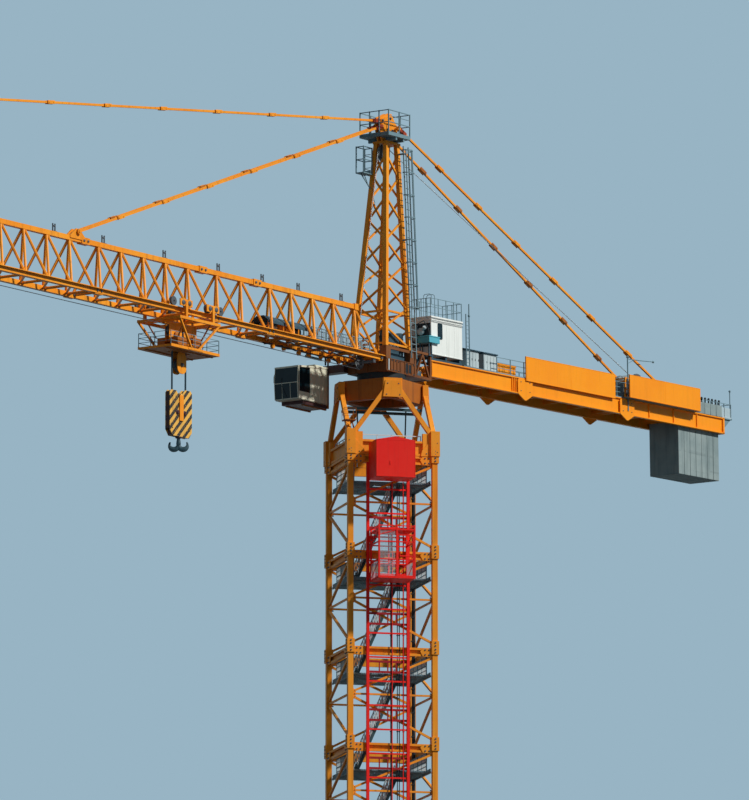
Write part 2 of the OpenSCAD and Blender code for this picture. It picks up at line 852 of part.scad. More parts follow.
// Platform round the tie plates, on joists across the cap, and a basket in front of the legs
module head_platform() {
    joist_z = head_top + face_gap + 12 + face_gap;
    deck_z = joist_z + 16;
    deck_x = -head_back + 14;
    color(rail_grey) {
        difference() {
            union() {
                block([top_deck_l, top_deck_w, 6], [deck_x, 0, deck_z]);
                for (x = [-30, 34])
                    block([12, top_deck_w - 10, 17], [-head_back + x, 0, joist_z]);
            }
            block([head_top_x + 66, 2 * plate_y + cap_t + 8, 40], [-head_back + 10, 0, joist_z - 1]);
        }
        for (s = [-1, 1]) {
            translate([deck_x - top_deck_l / 2, s * (top_deck_w - rail_w) / 2, deck_z + 5])
                railing(top_deck_l, top_rail_h);
            translate([deck_x + s * (top_deck_l - rail_w) / 2, -top_deck_w / 2, deck_z + 5])
                rotate(90)
                    railing(top_deck_w, top_rail_h, top_deck_w / 3);
        }
        basket();
    }
}

basket_size = [78, 50, 138];
// Basket for work on the jib ties, with a brace down to a leg
module basket() {
    floor_z = head_top - basket_drop;
    x0 = head_corner(1, -1, column_h + head_h - basket_drop).x + head_leg_w / 2 + 2;
    y0 = -head_top_y / 2 - 4;
    at = [x0, y0 - basket_size.y, floor_z];
    translate(at) {
        cube([basket_size.x, basket_size.y, 5]);
        for (y = [rail_w / 2, basket_size.y - rail_w / 2])
            translate([0, y, 4])
                railing(basket_size.x, basket_size.z - 4, 60);
        for (x = [rail_w / 2, basket_size.x - rail_w / 2])
            translate([x, 0, 4])
                rotate(90)
                    railing(basket_size.y, basket_size.z - 4, 60);
        translate([-1.6, basket_size.y - 14, 0])
            cube([8, 12, 12]);
    }
    beam([at.x + basket_size.x - 8, at.y + basket_size.y / 2, floor_z + 3],
        [at.x + 9, at.y + basket_size.y - 8, floor_z - 70], rail_w, rail_w);
}

// Ladder beside the near rear leg, with hoops of a safety cage
module head_ladder() {
    z0 = column_h - 40;
    z1 = column_h + head_h - 6;
    mid_x = -head_base_x / 2 - 4;
    function ladder_y(z) = lerp(head_base_y / 2 + 26, head_top_y / 2 + 44, (z - column_h) / head_h);
    rungs = round((z1 - z0) / 36);
    color(rail_grey) {
        for (s = [-1, 1])
            upright([mid_x + s * ladder_w / 2, ladder_y(z0), jib_z + z0],
                [mid_x + s * ladder_w / 2, ladder_y(z1), jib_z + z1], rail_w);
        for (k = [1:rungs - 1]) {
            z = lerp(z0, z1, k / rungs);
            block([ladder_w, 3, 3], [mid_x, ladder_y(z), jib_z + z]);
        }
        for (k = [0:7]) {
            z = column_h + 215 + k * 115;
            translate([mid_x, ladder_y(z), jib_z + z]) {
                difference() {
                    cylinder(r = 35, h = 5, $fn = 16);
                    translate([0, 0, -1])
                        cylinder(r = 31, h = 7, $fn = 16);
                    translate([-40, -41, -1])
                        cube([80, 40, 7]);
                }
                for (s = [-1, 1])
                    block([34 - ladder_w / 2, 4, 5], [s * (34 + ladder_w / 2) / 2, 0, 0]);
            }
        }
        for (a = [-55, 0, 55])
            beam([mid_x + 33 * sin(a), ladder_y(column_h + 215) + 33 * cos(a), jib_z + column_h + 212],
                [mid_x + 33 * sin(a), ladder_y(column_h + 1020) + 33 * cos(a), jib_z + column_h + 1026],
                4, 4);
        for (z = [column_h + 60, column_h + 560, column_h + 1000]) {
            leg_y = head_corner(-1, 1, z).y + head_leg_w / 2 + 0.6;
            translate([mid_x + ladder_w / 2 - 3, leg_y, jib_z + z])
                cube([6, ladder_y(z) - leg_y, 8]);
        }
    }
}

// Start of jib section i along the jib
function jib_start(i) = jib_start_x + (i == 0 ? 0 : jib_section_l) + (i > 1 ? jib_short_l : 0)
    + max(0, i - 2) * jib_section_l;
function jib_length(i) = i == 1 ? jib_short_l : jib_section_l;
jib_end_x = jib_start(len(jib_names));
chord_y = jib_gauge / 2;

// One jib section: three chords, ledges, and a zigzag of tubes on each of its three sides
module jib_section(i) {
    length = jib_length(i) - face_gap;
    bays = i == 1 ? 2 : 5;
    bay = (length - 2 * jib_end_gap) / bays;
    start = jib_start(i);
    color(yellow)
        translate([start, 0, jib_z]) {
            for (s = [-1, 1]) {
                block([length, chord_w, chord_w], [length / 2, s * chord_y, -chord_w / 2]);
                block([length, ledge_w + 2, ledge_t], [length / 2, s * (chord_y + (chord_w + ledge_w) / 2 - 1),
                    chord_w / 2 - ledge_t - 0.5]);
            }
            top_x = i == 0 ? jib_end_gap + bay / 2 - 20 : 0;
            translate([top_x, -chord_w / 2, jib_h - chord_w / 2])
                cube([length - top_x, chord_w, chord_w]);
            for (x = [16, length - 16]) {
                block([32, chord_w + 8, chord_w + 8], [max(x, top_x + 16), 0, jib_h - chord_w / 2 - 4]);
                for (s = [-1, 1])
                    block([32, chord_w + 4, chord_w + 3], [x, s * (chord_y - 4), -chord_w / 2 - 5]);
            }
            for (k = [0:bays - 1]) {
                x0 = jib_end_gap + k * bay;
                for (s = [-1, 1]) {
                    rod([x0, s * chord_y, 0], [x0 + bay / 2, 0, jib_h], tube_d, 6);
                    rod([x0 + bay / 2, 0, jib_h], [x0 + bay, s * chord_y, 0], tube_d, 6);
                }
                rod([x0, -chord_y, 0], [x0 + bay, chord_y, 0], tube_d * 0.8, 6);
            }
            for (k = [0:bays])
                rod([jib_end_gap + k * bay, -chord_y, 0], [jib_end_gap + k * bay, chord_y, 0], tube_d, 6);
        }
    if (inner_tie_x > start && inner_tie_x < start + length)
        tie_lug(inner_tie_x, tie_gauge + tie_d + 6);
    if (outer_tie_x > start && outer_tie_x < start + length)
        tie_lug(outer_tie_x, 2 * plate_y);
}

// Two lug plates on the top chord with the pin of a tie through them
module tie_lug(x, pin_l) {
    z = jib_z + jib_h;
    color(yellow) {
        for (s = [-1, 1])
            translate([x, s * plate_y + cap_t / 2, z])
                rotate([90, 0, 0])
                    linear_extrude(cap_t)
                        polygon([[-60, 0], [60, 0], [60, chord_w / 2], [14, tie_lug_h + 14],
                            [-14, tie_lug_h + 14], [-60, chord_w / 2]]);
        disc(pin_d, pin_l, [x, 0, z + tie_lug_h]);
    }
}

inner_floor = jib_z + tube_d / 2 + face_gap;

// Walkway on the cross tubes inside the jib, with a rail on both sides
module jib_walkway() {
    color(rail_grey)
        translate([jib_start_x + 10, 0, inner_floor]) {
            difference() {
                block([walk_l, walk_w, 5], [walk_l / 2, 0, 0]);
                block([44, 26, 7], [root_sheave.x + 30 - jib_start_x, 0, -1]);
            }
            for (s = [-1, 1])
                translate([0, s * (walk_w / 2 - rail_w), 4])
                    railing(walk_l, 84, 125);
        }
}

// Trolley winch under its sloping cover
module trolley_winch() {
    low = 54;
    high = 31;
    tall = 74;
    color(rail_grey)
        translate([jib_start_x + winch_gap, 0, inner_floor]) {
            for (k = [3, 4])
                block([20, 2 * low - 10, 38], [jib_end_gap + k * (jib_section_l - face_gap - 2 * jib_end_gap) / 5
                    - winch_gap, 0, 0]);
            translate([0, 0, 37])
                rotate([90, 0, 90])
                    linear_extrude(winch_l)
                        polygon([[-low, 0], [low, 0], [high, tall], [-high, tall]]);
        }
}

// A tie bar from pin a to pin b with an eye round each pin and a joint at the end of each link
module tie_bar(a, b, link_l) {
    v = b - a;
    joints = floor(norm(v) / link_l);
    difference() {
        union() {
            beam(a, b, tie_d, tie_d + 2);
            for (p = [a, b])
                disc(pin_d + 14, tie_d + 0.6, p, 24);
            for (k = [1:joints]) {
                p = a + v * (k * link_l / norm(v));
                q = p + v * (34 / norm(v));
                if (k * link_l + 60 < norm(v))
                    beam(p, q, tie_d + 5, tie_d + 9);
            }
        }
        for (p = [a, b])
            disc(pin_d + 2 * face_gap, tie_d + 4, p);
    }
}

// Both bars of the inner tie
module jib_tie_inner() {
    color(yellow)
        for (s = [-1, 1])
            tie_bar([inner_pin[0], s * tie_gauge / 2, inner_pin[1]],
                [inner_tie_x, s * tie_gauge / 2, jib_z + jib_h + tie_lug_h], inner_link_l);
}

module jib_tie_outer() {
    color(yellow)
        tie_bar([outer_pin[0], 0, outer_pin[1]], [outer_tie_x, 0, jib_z + jib_h + tie_lug_h],
            outer_link_l);
}

// The counter-jib is drawn along +X from its root, then turned round and tilted
module on_counter() {
    translate([-counter_root_x, 0, jib_z])
        rotate([0, counter_rise, 0])
            rotate(180)
                children();
}

// Where a point drawn on the counter-jib comes to lie
function counter_point(p) = [
    -counter_root_x - p.x * cos(counter_rise) + p.z * sin(counter_rise),
    -p.y,
    jib_z + p.x * sin(counter_rise) + p.z * cos(counter_rise)];

girder_top = girder_h / 2;
girder_y = girder_gauge / 2;
middle_x = counter_inner_l;
outer_x = counter_inner_l + counter_middle_l;
counter_l = outer_x + counter_outer_l;
tie_foot_x = counter_l - counter_tie_back;

// I-shaped girder along X with upright stiffeners
module girder(length) {
    ribs = round(length / 190);
    for (z = [-girder_top, girder_top - flange_t])
        translate([0, -girder_w / 2, z])
            cube([length, girder_w, flange_t]);
    translate([0, -2.5, -girder_top])
        cube([length, 5, girder_h]);
    for (k = [0:ribs])
        block([5, girder_w - 4, girder_h - 2], [lerp(6, length - 6, k / ribs), 0, -girder_top + 1]);
}

// A pair of girders with cross beams, and pointed joint plates at the given ends
module girder_pair(x0, length, ties, lugs) {
    color(yellow)
        on_counter()
            translate([x0, 0, 0]) {
                for (s = [-1, 1])
                    translate([0, s * girder_y, 0]) {
                        girder(length);
                        for (x = lugs)
                            joint_plate(x);
                    }
                for (k = [0:ties])
                    block([14, girder_gauge, 34], [lerp(20, length - 20, k / ties), 0, -18]);
            }
}

module joint_plate(x) {
    translate([x, -girder_w / 2 - 3, 0])
        rotate([-90, 0, 0])
            linear_extrude(6)
                polygon([[-22, -girder_top + 7], [22, -girder_top + 7], [22, girder_top], [8,
                    girder_top + 18], [-8, girder_top + 18], [-22, girder_top]]);
}

module counter_girders_inner() {
    girder_pair(0, counter_inner_l - face_gap, 4, [counter_inner_l - 24]);
}

module counter_girders_middle() {
    girder_pair(middle_x, counter_middle_l - face_gap, 4, [24, counter_middle_l - 24]);
}

// The outer girders, with a gap for the slabs and the lugs of the counter ties
module counter_girders_outer() {
    color(yellow) {
        on_counter() {
            for (s = [-1, 1])
                translate([outer_x, s * girder_y, 0]) {
                    girder(counter_outer_l);
                    joint_plate(24);
                }
            for (x = [30, 250, 480])
                block([14, girder_gauge, 34], [outer_x + x, 0, -18]);
            block([14, girder_gauge + girder_w, girder_h + 4], [counter_l - 7, 0, -girder_top - 2]);
            for (s = [-1, 1], t = [-1, 1])
                translate([tie_foot_x, s * girder_y + t * (tie_d / 2 + 3.5) + 2.5, 0])
                    rotate([90, 0, 0])
                        linear_extrude(5)
                            polygon([[-34, girder_top - 2], [34, girder_top - 2], [14,
                                girder_top + counter_lug_h + 12], [-14, girder_top + counter_lug_h + 12]]);
            for (s = [-1, 1])
                disc(pin_d, tie_d + 16, [tie_foot_x, s * girder_y, girder_top + counter_lug_h]);
        }
    }
}

deck_z = girder_top + face_gap;
rail_y = girder_y + 4;
slabs_l = slab_count * (slab_t + slab_gap) - slab_gap;
slabs_x = counter_l - slab_end - slabs_l;
house_x = house_gap;
deck_x0 = house_x + house_l + 10;
deck_x1 = slabs_x - 10;
walk_x0 = outer_x - 50;
lug_room = 45;
rail_stop = 180;

// Deck between the girders, a side walk along the outer ones and a platform behind their end
module counter_deck() {
    color(rail_grey)
        on_counter() {
            difference() {
                translate([deck_x0, -girder_y - girder_w / 2, deck_z])
                    cube([deck_x1 - deck_x0, girder_gauge + girder_w, deck_t]);
                for (s = [-1, 1])
                    block([2 * lug_room, girder_w + 6, deck_t + 2], [tie_foot_x, s * girder_y, deck_z - 1]);
            }
            translate([walk_x0, -girder_y - girder_w / 2 - side_walk_w, deck_z]) {
                cube([board_2_l, side_walk_w - face_gap, deck_t]);
                for (k = [0:4])
                    translate([20 + k * (board_2_l - 46) / 4, side_walk_w - face_gap, 1])
                        rotate([90, 0, 90])
                            linear_extrude(6)
                                polygon([[0, 0], [-side_walk_w + 4, 0], [0, -4]]);
            }
            translate([counter_l + face_gap, -girder_y - girder_w / 2, girder_top - deck_t])
                cube([end_deck_l, girder_gauge + girder_w, deck_t]);
            for (y = [-girder_y, girder_y])
                translate([counter_l + face_gap + 0.5, y, girder_top - deck_t + 1])
                    rotate([90, 0, 0])
                        linear_extrude(8, center = true)
                            polygon([[0, 0], [end_deck_l - 6, 0], [0, -52]]);
        }
}

// Railings on both sides of the deck, up to the ties' lugs, and round the rear platform
module counter_railings() {
    z = deck_z + deck_t + face_gap;
    run = tie_foot_x - rail_stop - deck_x0;
    color(rail_grey)
        on_counter() {
            for (s = [-1, 1])
                translate([deck_x0 + 2, s * rail_y, z])
                    railing(run, deck_rail_h, 120);
            translate([counter_l + 6, 0, girder_top + face_gap]) {
                for (s = [-1, 1])
                    translate([0, s * (girder_y + girder_w / 2 - rail_w), 0])
                        railing(end_deck_l - 8, deck_rail_h, 70);
                translate([end_deck_l - 8 - rail_w, -girder_y - girder_w / 2 + 2, 0])
                    rotate(90)
                        railing(girder_gauge + girder_w - 4, deck_rail_h, 70);
            }
        }
}

// Both counter ties, each inclined in two planes from its lug to the tower head
module counter_ties() {
    color(yellow)
        for (s = [-1, 1])
            tie_bar([counter_pin[0], s * counter_pin_gauge / 2, counter_pin[1]],
                counter_point([tie_foot_x, -s * girder_y, girder_top + counter_lug_h]), counter_link_l);
}

// Concrete slabs that hang between the girders by their shoulders, with lifting lugs
module counterweights() {
    shoulder = girder_gauge + girder_w;
    body = girder_gauge - girder_w - 6;
    color(concrete)
        on_counter()
            for (k = [0:slab_count - 1])
                translate([slabs_x + k * (slab_t + slab_gap), 0, girder_top + face_gap]) {
                    translate([0, -body / 2, -slab_drop])
                        cube([slab_t, body, slab_drop + 2]);
                    translate([0, -shoulder / 2, 0])
                        cube([slab_t, shoulder, slab_rise]);
                    for (s = [-1, 1])
                        block([8, 22, 18], [slab_t / 2, s * 62, slab_rise - 2]);
                }
}

// Machine house on its base rails, with a double roof edge
module machine_house() {
    base_h = 22;
    color(white)
        on_counter()
            translate([house_x + house_l / 2, 0, girder_top + face_gap]) {
                for (s = [-1, 1])
                    block([house_l - 16, 14, base_h + 1], [0, s * girder_y, 0]);
                block([house_l, house_w, house_h], [0, 0, base_h]);
                block([house_l + 10, house_w + 10, 8], [0, 0, base_h + house_h - 26]);
                block([house_l + 14, house_w + 14, 10], [0, 0, base_h + house_h - 9]);
            }
}

cabinets_x = deck_x0 + 4;
cabinet_step = cabinet_l + 34;

// Two control cabinets with overhanging roofs and a lower box behind them
module control_cabinets() {
    z = deck_z + deck_t + face_gap;
    color(light_grey)
        on_counter() {
            for (k = [0:1])
                translate([cabinets_x + cabinet_l / 2 + k * cabinet_step, 0, z]) {
                    block([cabinet_l, 150, cabinet_h], [0, 0, 0]);
                    block([cabinet_l + 12, 162, 6], [0, 0, cabinet_h - 1]);
                }
            translate([cabinets_x + 2 * cabinet_step, -70, z])
                cube([220, 140, 74]);
        }
}

drum_z = deck_z + deck_t + 91;

// Hoist winch: drum with flanges between two bearings, motor and gearbox
module hoist_winch() {
    z = deck_z + deck_t + face_gap;
    color(steel_dark)
        on_counter() {
            block([230, 170, 12], [drum_x - 10, 0, z]);
            disc(drum_d, 118, [drum_x, 0, drum_z], 48);
            for (s = [-1, 1]) {
                disc(drum_d + 34, 6, [drum_x, s * 56, drum_z], 48);
                block([50, 10, drum_z - z], [drum_x, s * 72, z]);
                disc(44, 24, [drum_x, s * 68, drum_z], 24);
            }
            block([90, 64, 70], [drum_x - 100, -30, z + 10]);
            disc(56, 90, [drum_x - 100, 28, z + 58], 24);
        }
}

// Blank boards on the near side: one above the girders, one at the edge of the side walk
module side_boards() {
    near_1 = rail_y + rail_w / 2 + face_gap;
    near_2 = girder_y + girder_w / 2 + side_walk_w + face_gap;
    board_z = deck_z + deck_t + face_gap;
    color(yellow)
        on_counter() {
            translate([outer_x - board_1_l - 140, -near_1 - 6, board_z])
                cube([board_1_l, 6, board_1_h]);
            translate([walk_x0, -near_2 - 6, girder_top - 4])
                cube([board_2_l, 6, board_2_h]);
            for (k = [0:4])
                translate([walk_x0 + 20 + k * (board_2_l - 46) / 4, -near_2 - 0.5, board_z])
                    cube([6, 7, board_2_h - 16]);
        }
}

cab_z = jib_z - cab_base_h - cab_h + 8;
// Cab: a body with a recess for the window band at its front
module cab_body() {
    color(white)
        translate([cab_x, -cab_side - cab_w, cab_z])
            difference() {
                rotate([90, 0, 0])
                    translate([0, 0, -cab_w])
                        linear_extrude(cab_w)
                            polygon([[0, 0], [cab_l - 22, 0], [cab_l - 6, 14], [cab_l, cab_h * 0.45],
                                [cab_l - 12, cab_h - 10], [cab_l - 24, cab_h], [0, cab_h]]);
                translate([cab_l - cab_window_l, -1, 22])
                    cube([cab_window_l + 1, cab_w + 2, cab_h - 44]);
            }
}

// Glazing of the cab: one solid that fills the window band, its front following the cab's outline
module cab_glass() {
    g = face_gap;
    color(glass_dark)
        translate([cab_x + cab_l - cab_window_l + g, -cab_side - cab_w, cab_z])
            rotate([90, 0, 0])
                translate([0, 0, -cab_w + 2])
                    linear_extrude(cab_w - 4)
                        polygon([[0, 22 + g], [cab_window_l - 7, 22 + g], [cab_window_l - 2,
                            cab_h * 0.45], [cab_window_l - 14, cab_h - 22 - g], [0, cab_h - 22 - g]]);
}

// Base under the cab, and the box beam that joins the cab to the turntable
module cab_bracket() {
    reach = cab_side + 60;
    color(yellow) {
        translate([cab_x + 6, -cab_side - cab_w + 6, cab_z - cab_base_h - face_gap])
            cube([cab_l - 60, cab_w - 12, cab_base_h]);
        translate([turn_l / 2 - 18, -reach, jib_z - 56])
            cube([cab_x - turn_l / 2 + 18 - face_gap, reach - turn_w / 2 - face_gap, 40]);
    }
}

line_drop = 58;
line_z = jib_z - line_drop;
sheave_z = line_z - sheave_d / 2 - rope_d / 2;
root_sheave_d = 52;
function rope_r(pitch) = pitch / 2 + 6 + face_gap;
root_sheave = [jib_start_x + 64, 0, line_z + rope_r(root_sheave_d)];
head_sheave = [-head_back + 30, 0, head_top - 48];
head_pin_y = head_corner(1, 1, head_sheave.z - jib_z + 8).y - head_leg_w / 2 - face_gap - 0.2;

// Sheave with a groove in its rim and a bore
module sheave(pitch, w, at, bore) {
    difference() {
        disc(pitch - rope_d + 10, w, at, 48);
        translate(at)
            rotate([90, 0, 0])
                difference() {
                    cylinder(d = pitch + 20, h = rope_d + 1, center = true, $fn = 48);
                    cylinder(d = pitch - rope_d, h = rope_d + 2, center = true, $fn = 48);
                }
        disc(bore, w + 2, at, 24);
    }
}

// Sheaves of the hoist rope at the tower head's top and at the jib's root, in their cheeks
module rope_sheaves() {
    color(steel_dark) {
        for (p = [[head_sheave, head_sheave_d], [root_sheave, root_sheave_d]]) {
            difference() {
                disc(p[1] - rope_d + 12, 12, p[0], 48);
                for (s = [-1, 1])
                    translate([0, s * 6.5, 0])
                        disc(p[1] - 26, 6, p[0], 48);
            }
        }
        disc(14, 2 * head_pin_y, head_sheave, 24);
        disc(14, 2 * chord_y + 12, root_sheave, 24);
        for (s = [-1, 1])
            block([20, 10, jib_z - chord_w / 2 - root_sheave.z + 7 - face_gap],
                [root_sheave.x, s * chord_y, root_sheave.z - 7]);
    }
}

// Stretch of rope bent round a sheave from one angle to another
module rope_bend(at, r, from, to) {
    translate(at)
        rotate([90, 0, 0])
            rotate(from)
                rotate_extrude(angle = to - from, $fn = 96)
                    translate([r, 0])
                        circle(d = rope_d + 0.4, $fn = 16);
}

function rim_point(at, r, a) = at + r * [cos(a), 0, sin(a)];

// Hoist rope: from the drum over the head sheave, down to the root sheave, and along the jib
module hoist_line() {
    head_r = rope_r(head_sheave_d);
    root_r = rope_r(root_sheave_d);
    drum = counter_point([drum_x, 0, drum_z]);
    drum_r = drum_d / 2 + rope_d;
    rise = head_sheave - drum;
    run = root_sheave - head_sheave;
    a1 = 90 + atan2(rise.z, rise.x) + asin((head_r - drum_r) / norm(rise));
    a2 = atan2(run.x, -run.z) - asin((head_r - root_r) / norm(run));
    color(rope_grey) {
        rod(rim_point(drum, drum_r, a1), rim_point(head_sheave, head_r, a1), rope_d, 16);
        rope_bend(head_sheave, head_r, a2 - 2, a1 + 2);
        rod(rim_point(head_sheave, head_r, a2), rim_point(root_sheave, root_r, a2), rope_d, 16);
        rope_bend(root_sheave, root_r, -92, a2 + 2);
        rod([root_sheave.x, 0, line_z], [jib_end_x - 20, 0, line_z], rope_d);
    }
}

wheel_y = chord_y + chord_w / 2 + 1 + ledge_w / 2;
wheel_z = chord_w / 2 - 0.5 + face_gap + wheel_d / 2;
frame_y = wheel_y + ledge_w / 2 + 8;
top_rail_z = -46;

module at_trolley(z) {
    translate([trolley_x, 0, jib_z + z])
        children();
}

// Trolley: bogie plates with axles, hangers round the chords, side frames and sheave carrier
module trolley_frame() {
    bar = 12;
    half_top = trolley_deck_l / 2 + 40;
    half_low = 150;
    color(yellow)
        at_trolley(0) {
            for (s = [-1, 1]) {
                for (x = [-1, 1] * bogie_pitch / 2) {
                    block([bogie_wheels + 50, 6, 34], [x, s * frame_y, wheel_z - 17]);
                    block([16, bar, wheel_z - top_rail_z + 10], [x, s * (frame_y + 1), top_rail_z]);
                    for (w = [-1, 1] * bogie_wheels / 2)
                        disc(9, 22, [x + w, s * (frame_y - 8), wheel_z], 24);
                }
                block([2 * half_top, bar + 1, bar + 2], [0, s * (frame_y + 1), top_rail_z - 2]);
                block([2 * half_low, bar, bar], [0, s * (frame_y + 1), -trolley_drop]);
                for (x = [-1, 1])
                    beam([x * (half_top - bar), s * (frame_y + 1), top_rail_z + 4],
                        [x * (half_low - bar), s * (frame_y + 1), -trolley_drop + 6], bar - 2, bar - 2);
                for (x = [-1, 1] * (half_low - 10))
                    block([bar - 1, bar - 1, 30], [x, s * (frame_y - 36), -trolley_drop - 30 + face_gap]);
            }
            for (x = [-1, 1] * (half_top - bar))
                block([bar, 2 * frame_y, bar], [x, 0, top_rail_z - 1]);
            for (x = [-1, 1] * (half_low - 10))
                block([bar - 1, 2 * frame_y, bar - 1], [x, 0, -trolley_drop + 0.5]);
            sheave_carrier();
        }
}

// Two long plates that carry the trolley's sheaves, with their pins
module sheave_carrier() {
    x = (fall_gauge + sheave_d) / 2;
    reach = bogie_pitch + 10;
    for (s = [-1, 1])
        block([reach, 5, 70], [0, s * 14, -trolley_drop + 1]);
    for (s = [-1, 1])
        disc(9, 30, [s * x, 0, sheave_z - jib_z], 24);
}

// Trolley wheels on the ledges of the bottom chords
module trolley_wheels() {
    color(steel_dark)
        at_trolley(wheel_z)
            for (x = [-1, 1] * bogie_pitch / 2, w = [-1, 1] * bogie_wheels / 2, s = [-1, 1])
                difference() {
                    disc(wheel_d, ledge_w - 2, [x + w, s * wheel_y, 0]);
                    disc(9 + 2 * face_gap, ledge_w, [x + w, s * wheel_y, 0], 24);
                }
}

deck_low = -trolley_drop - 36;
// Platform under the trolley, with openings for the falls, railings and the parked sheave head
module trolley_platform() {
    color(rail_grey)
        at_trolley(deck_low) {
            difference() {
                block([trolley_deck_l, trolley_deck_w, 6], [0, 0, 0]);
                for (s = [-1, 1])
                    block([36, 40, 8], [s * fall_gauge / 2, 0, -1]);
            }
            for (s = [-1, 1])
                translate([-trolley_deck_l / 2, s * (trolley_deck_w - rail_w) / 2, 5])
                    railing(trolley_deck_l, trolley_rail_h, 98, 0.35);
            for (s = [-1, 1])
                block([58, 4, 96], [0, s * 10, -95]);
            disc(9, 22, [0, 0, -60], 24);
        }
}

// Sheaves of the trolley, and the one in the parked sheave head
module trolley_sheaves() {
    color(steel_dark) {
        for (s = [-1, 1])
            sheave(sheave_d, sheave_w, [trolley_x + s * (fall_gauge + sheave_d) / 2, 0, sheave_z],
                9 + 2 * face_gap);
        sheave(sheave_d, sheave_w, [trolley_x, 0, jib_z + deck_low - 60], 9 + 2 * face_gap);
    }
}

block_z = sheave_z - rope_drop;

// The two falls, from the trolley's sheaves to the block's
module rope_falls() {
    color(rope_grey)
        for (s = [-1, 1])
            rod([trolley_x + s * fall_gauge / 2, 0, sheave_z], [trolley_x + s * fall_gauge / 2, 0,
                block_z], rope_d);
}

plate_gap = sheave_w / 2 + 3;
block_sheave_x = (fall_gauge - sheave_d) / 2;

// Hook block: two striped side plates, bars over their joints, pins and the hook's cross head
module block_plates() {
    half_l = block_l / 2;
    half_h = block_h / 2;
    color("#e8a81c")
        translate([trolley_x, 0, block_z]) {
            for (s = [-1, 1]) {
                translate([0, s * (plate_gap + 2.5) + 2.5, 0])
                    rotate([90, 0, 0])
                        linear_extrude(5)
                            polygon([[-half_l, -half_h + 26], [-half_l + 22, -half_h], [half_l - 22,
                                -half_h], [half_l, -half_h + 26], [half_l, half_h - 14], [half_l - 14,
                                half_h], [-half_l + 14, half_h], [-half_l, half_h - 14]]);
                block([24, 4, block_h - 8], [0, s * (plate_gap + 6), -half_h + 4]);
                disc(9, 2 * plate_gap + 2, [s * block_sheave_x, 0, 0], 24);
            }
            block([70, 2 * plate_gap + 1, 44], [0, 0, -half_h + 2]);
        }
}

module block_sheaves() {
    color(steel_dark)
        for (s = [-1, 1])
            sheave(sheave_d, sheave_w, [trolley_x + s * block_sheave_x, 0, block_z], 9 + 2 * face_gap);
}

// Double hook: a shank that forks into two bowls with open mouths
module ramshorn_hook() {
    shank_l = 14;
    color(steel_dark)
        translate([trolley_x, 0, block_z - block_h / 2 - face_gap])
            rotate(125) {
                translate([0, 0, -shank_l - bowl_r])
                    cylinder(d = shank_d, h = shank_l + bowl_r + 2, $fn = 24);
                for (s = [0, 180])
                    rotate(s)
                        translate([bowl_r - 2, 0, -shank_l - bowl_r])
                            rotate([90, 0, 0])
                                rotate(180)
                                    rotate_extrude(angle = 215, $fn = 32)
                                        translate([bowl_r - 2, 0])
                                            circle(d = shank_d - 1, $fn = 16);
            }
}

foot_frame();
for (i = [0:section_count - 1])
    mast_section(i);
mast_platforms();
mast_stairs();
top_platform();
mast_head();
ring_support();
slewing_ring_lower();
lift_rails();
lift_drive();
lift_cage();
slewing_ring_upper();
turntable();
slewing_drives();
tower_head();
head_cap();
head_platform();
head_ladder();
for (i = [0:len(jib_names) - 1])
    jib_section(i);
jib_walkway();
trolley_winch();
jib_tie_inner();
jib_tie_outer();
counter_girders_inner();
counter_girders_middle();
counter_girders_outer();
counter_deck();
counter_railings();
counter_ties();
counterweights();
machine_house();
control_cabinets();
hoist_winch();
side_boards();
cab_body();
cab_glass();
cab_bracket();
rope_sheaves();
hoist_line();
trolley_frame();
trolley_wheels();
trolley_platform();
trolley_sheaves();
rope_falls();
block_plates();
block_sheaves();
ramshorn_hook();
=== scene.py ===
"""Looks of the tower crane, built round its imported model.

Sizes inside the classes are millimetres of the 1:10 crane, in the frame of the model:
the jib points along +X, +Z is up and the slewing axis is the Z axis.
"""

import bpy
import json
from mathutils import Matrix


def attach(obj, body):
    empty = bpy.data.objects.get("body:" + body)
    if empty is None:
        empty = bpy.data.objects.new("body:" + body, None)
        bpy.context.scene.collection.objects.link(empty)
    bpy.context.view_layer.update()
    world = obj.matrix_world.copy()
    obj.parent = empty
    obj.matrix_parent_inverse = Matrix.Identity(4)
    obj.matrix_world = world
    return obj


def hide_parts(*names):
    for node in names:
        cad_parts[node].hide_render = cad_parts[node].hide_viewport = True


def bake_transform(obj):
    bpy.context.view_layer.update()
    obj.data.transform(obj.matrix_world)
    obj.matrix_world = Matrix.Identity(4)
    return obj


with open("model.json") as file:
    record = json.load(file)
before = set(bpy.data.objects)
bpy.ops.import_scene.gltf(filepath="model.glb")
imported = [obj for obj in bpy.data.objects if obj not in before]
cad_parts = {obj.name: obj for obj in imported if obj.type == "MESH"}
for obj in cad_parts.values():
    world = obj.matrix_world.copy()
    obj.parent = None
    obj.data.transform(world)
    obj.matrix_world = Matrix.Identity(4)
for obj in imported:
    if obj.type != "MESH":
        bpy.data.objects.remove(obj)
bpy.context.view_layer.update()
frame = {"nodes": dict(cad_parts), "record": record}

import copy
import json
import logging
import math
from collections.abc import Iterable, Sequence
from dataclasses import dataclass, field
from enum import Enum

import bmesh
import bpy
from mathutils import Matrix, Vector

log = logging.getLogger("crane")

MM = 0.001
JIB_Z = 3425.0
MAST_TOP = 2925.0
MAST = Matrix.Rotation(math.radians(49.7), 4, "Z")
UPPER = Matrix.Translation((0.0, 0.0, JIB_Z))
COUNTER = (Matrix.Translation((-272.0, 0.0, JIB_Z)) @ Matrix.Rotation(math.radians(1.3), 4, "Y")
           @ Matrix.Rotation(math.pi, 4, "Z"))
ALONG, ACROSS, RISE = (1, 0, 0), (0, 1, 0), (0, 0, 1)

Point = Sequence[float]
Pairs = list[tuple[float, float]]
Socket = bpy.types.NodeSocket


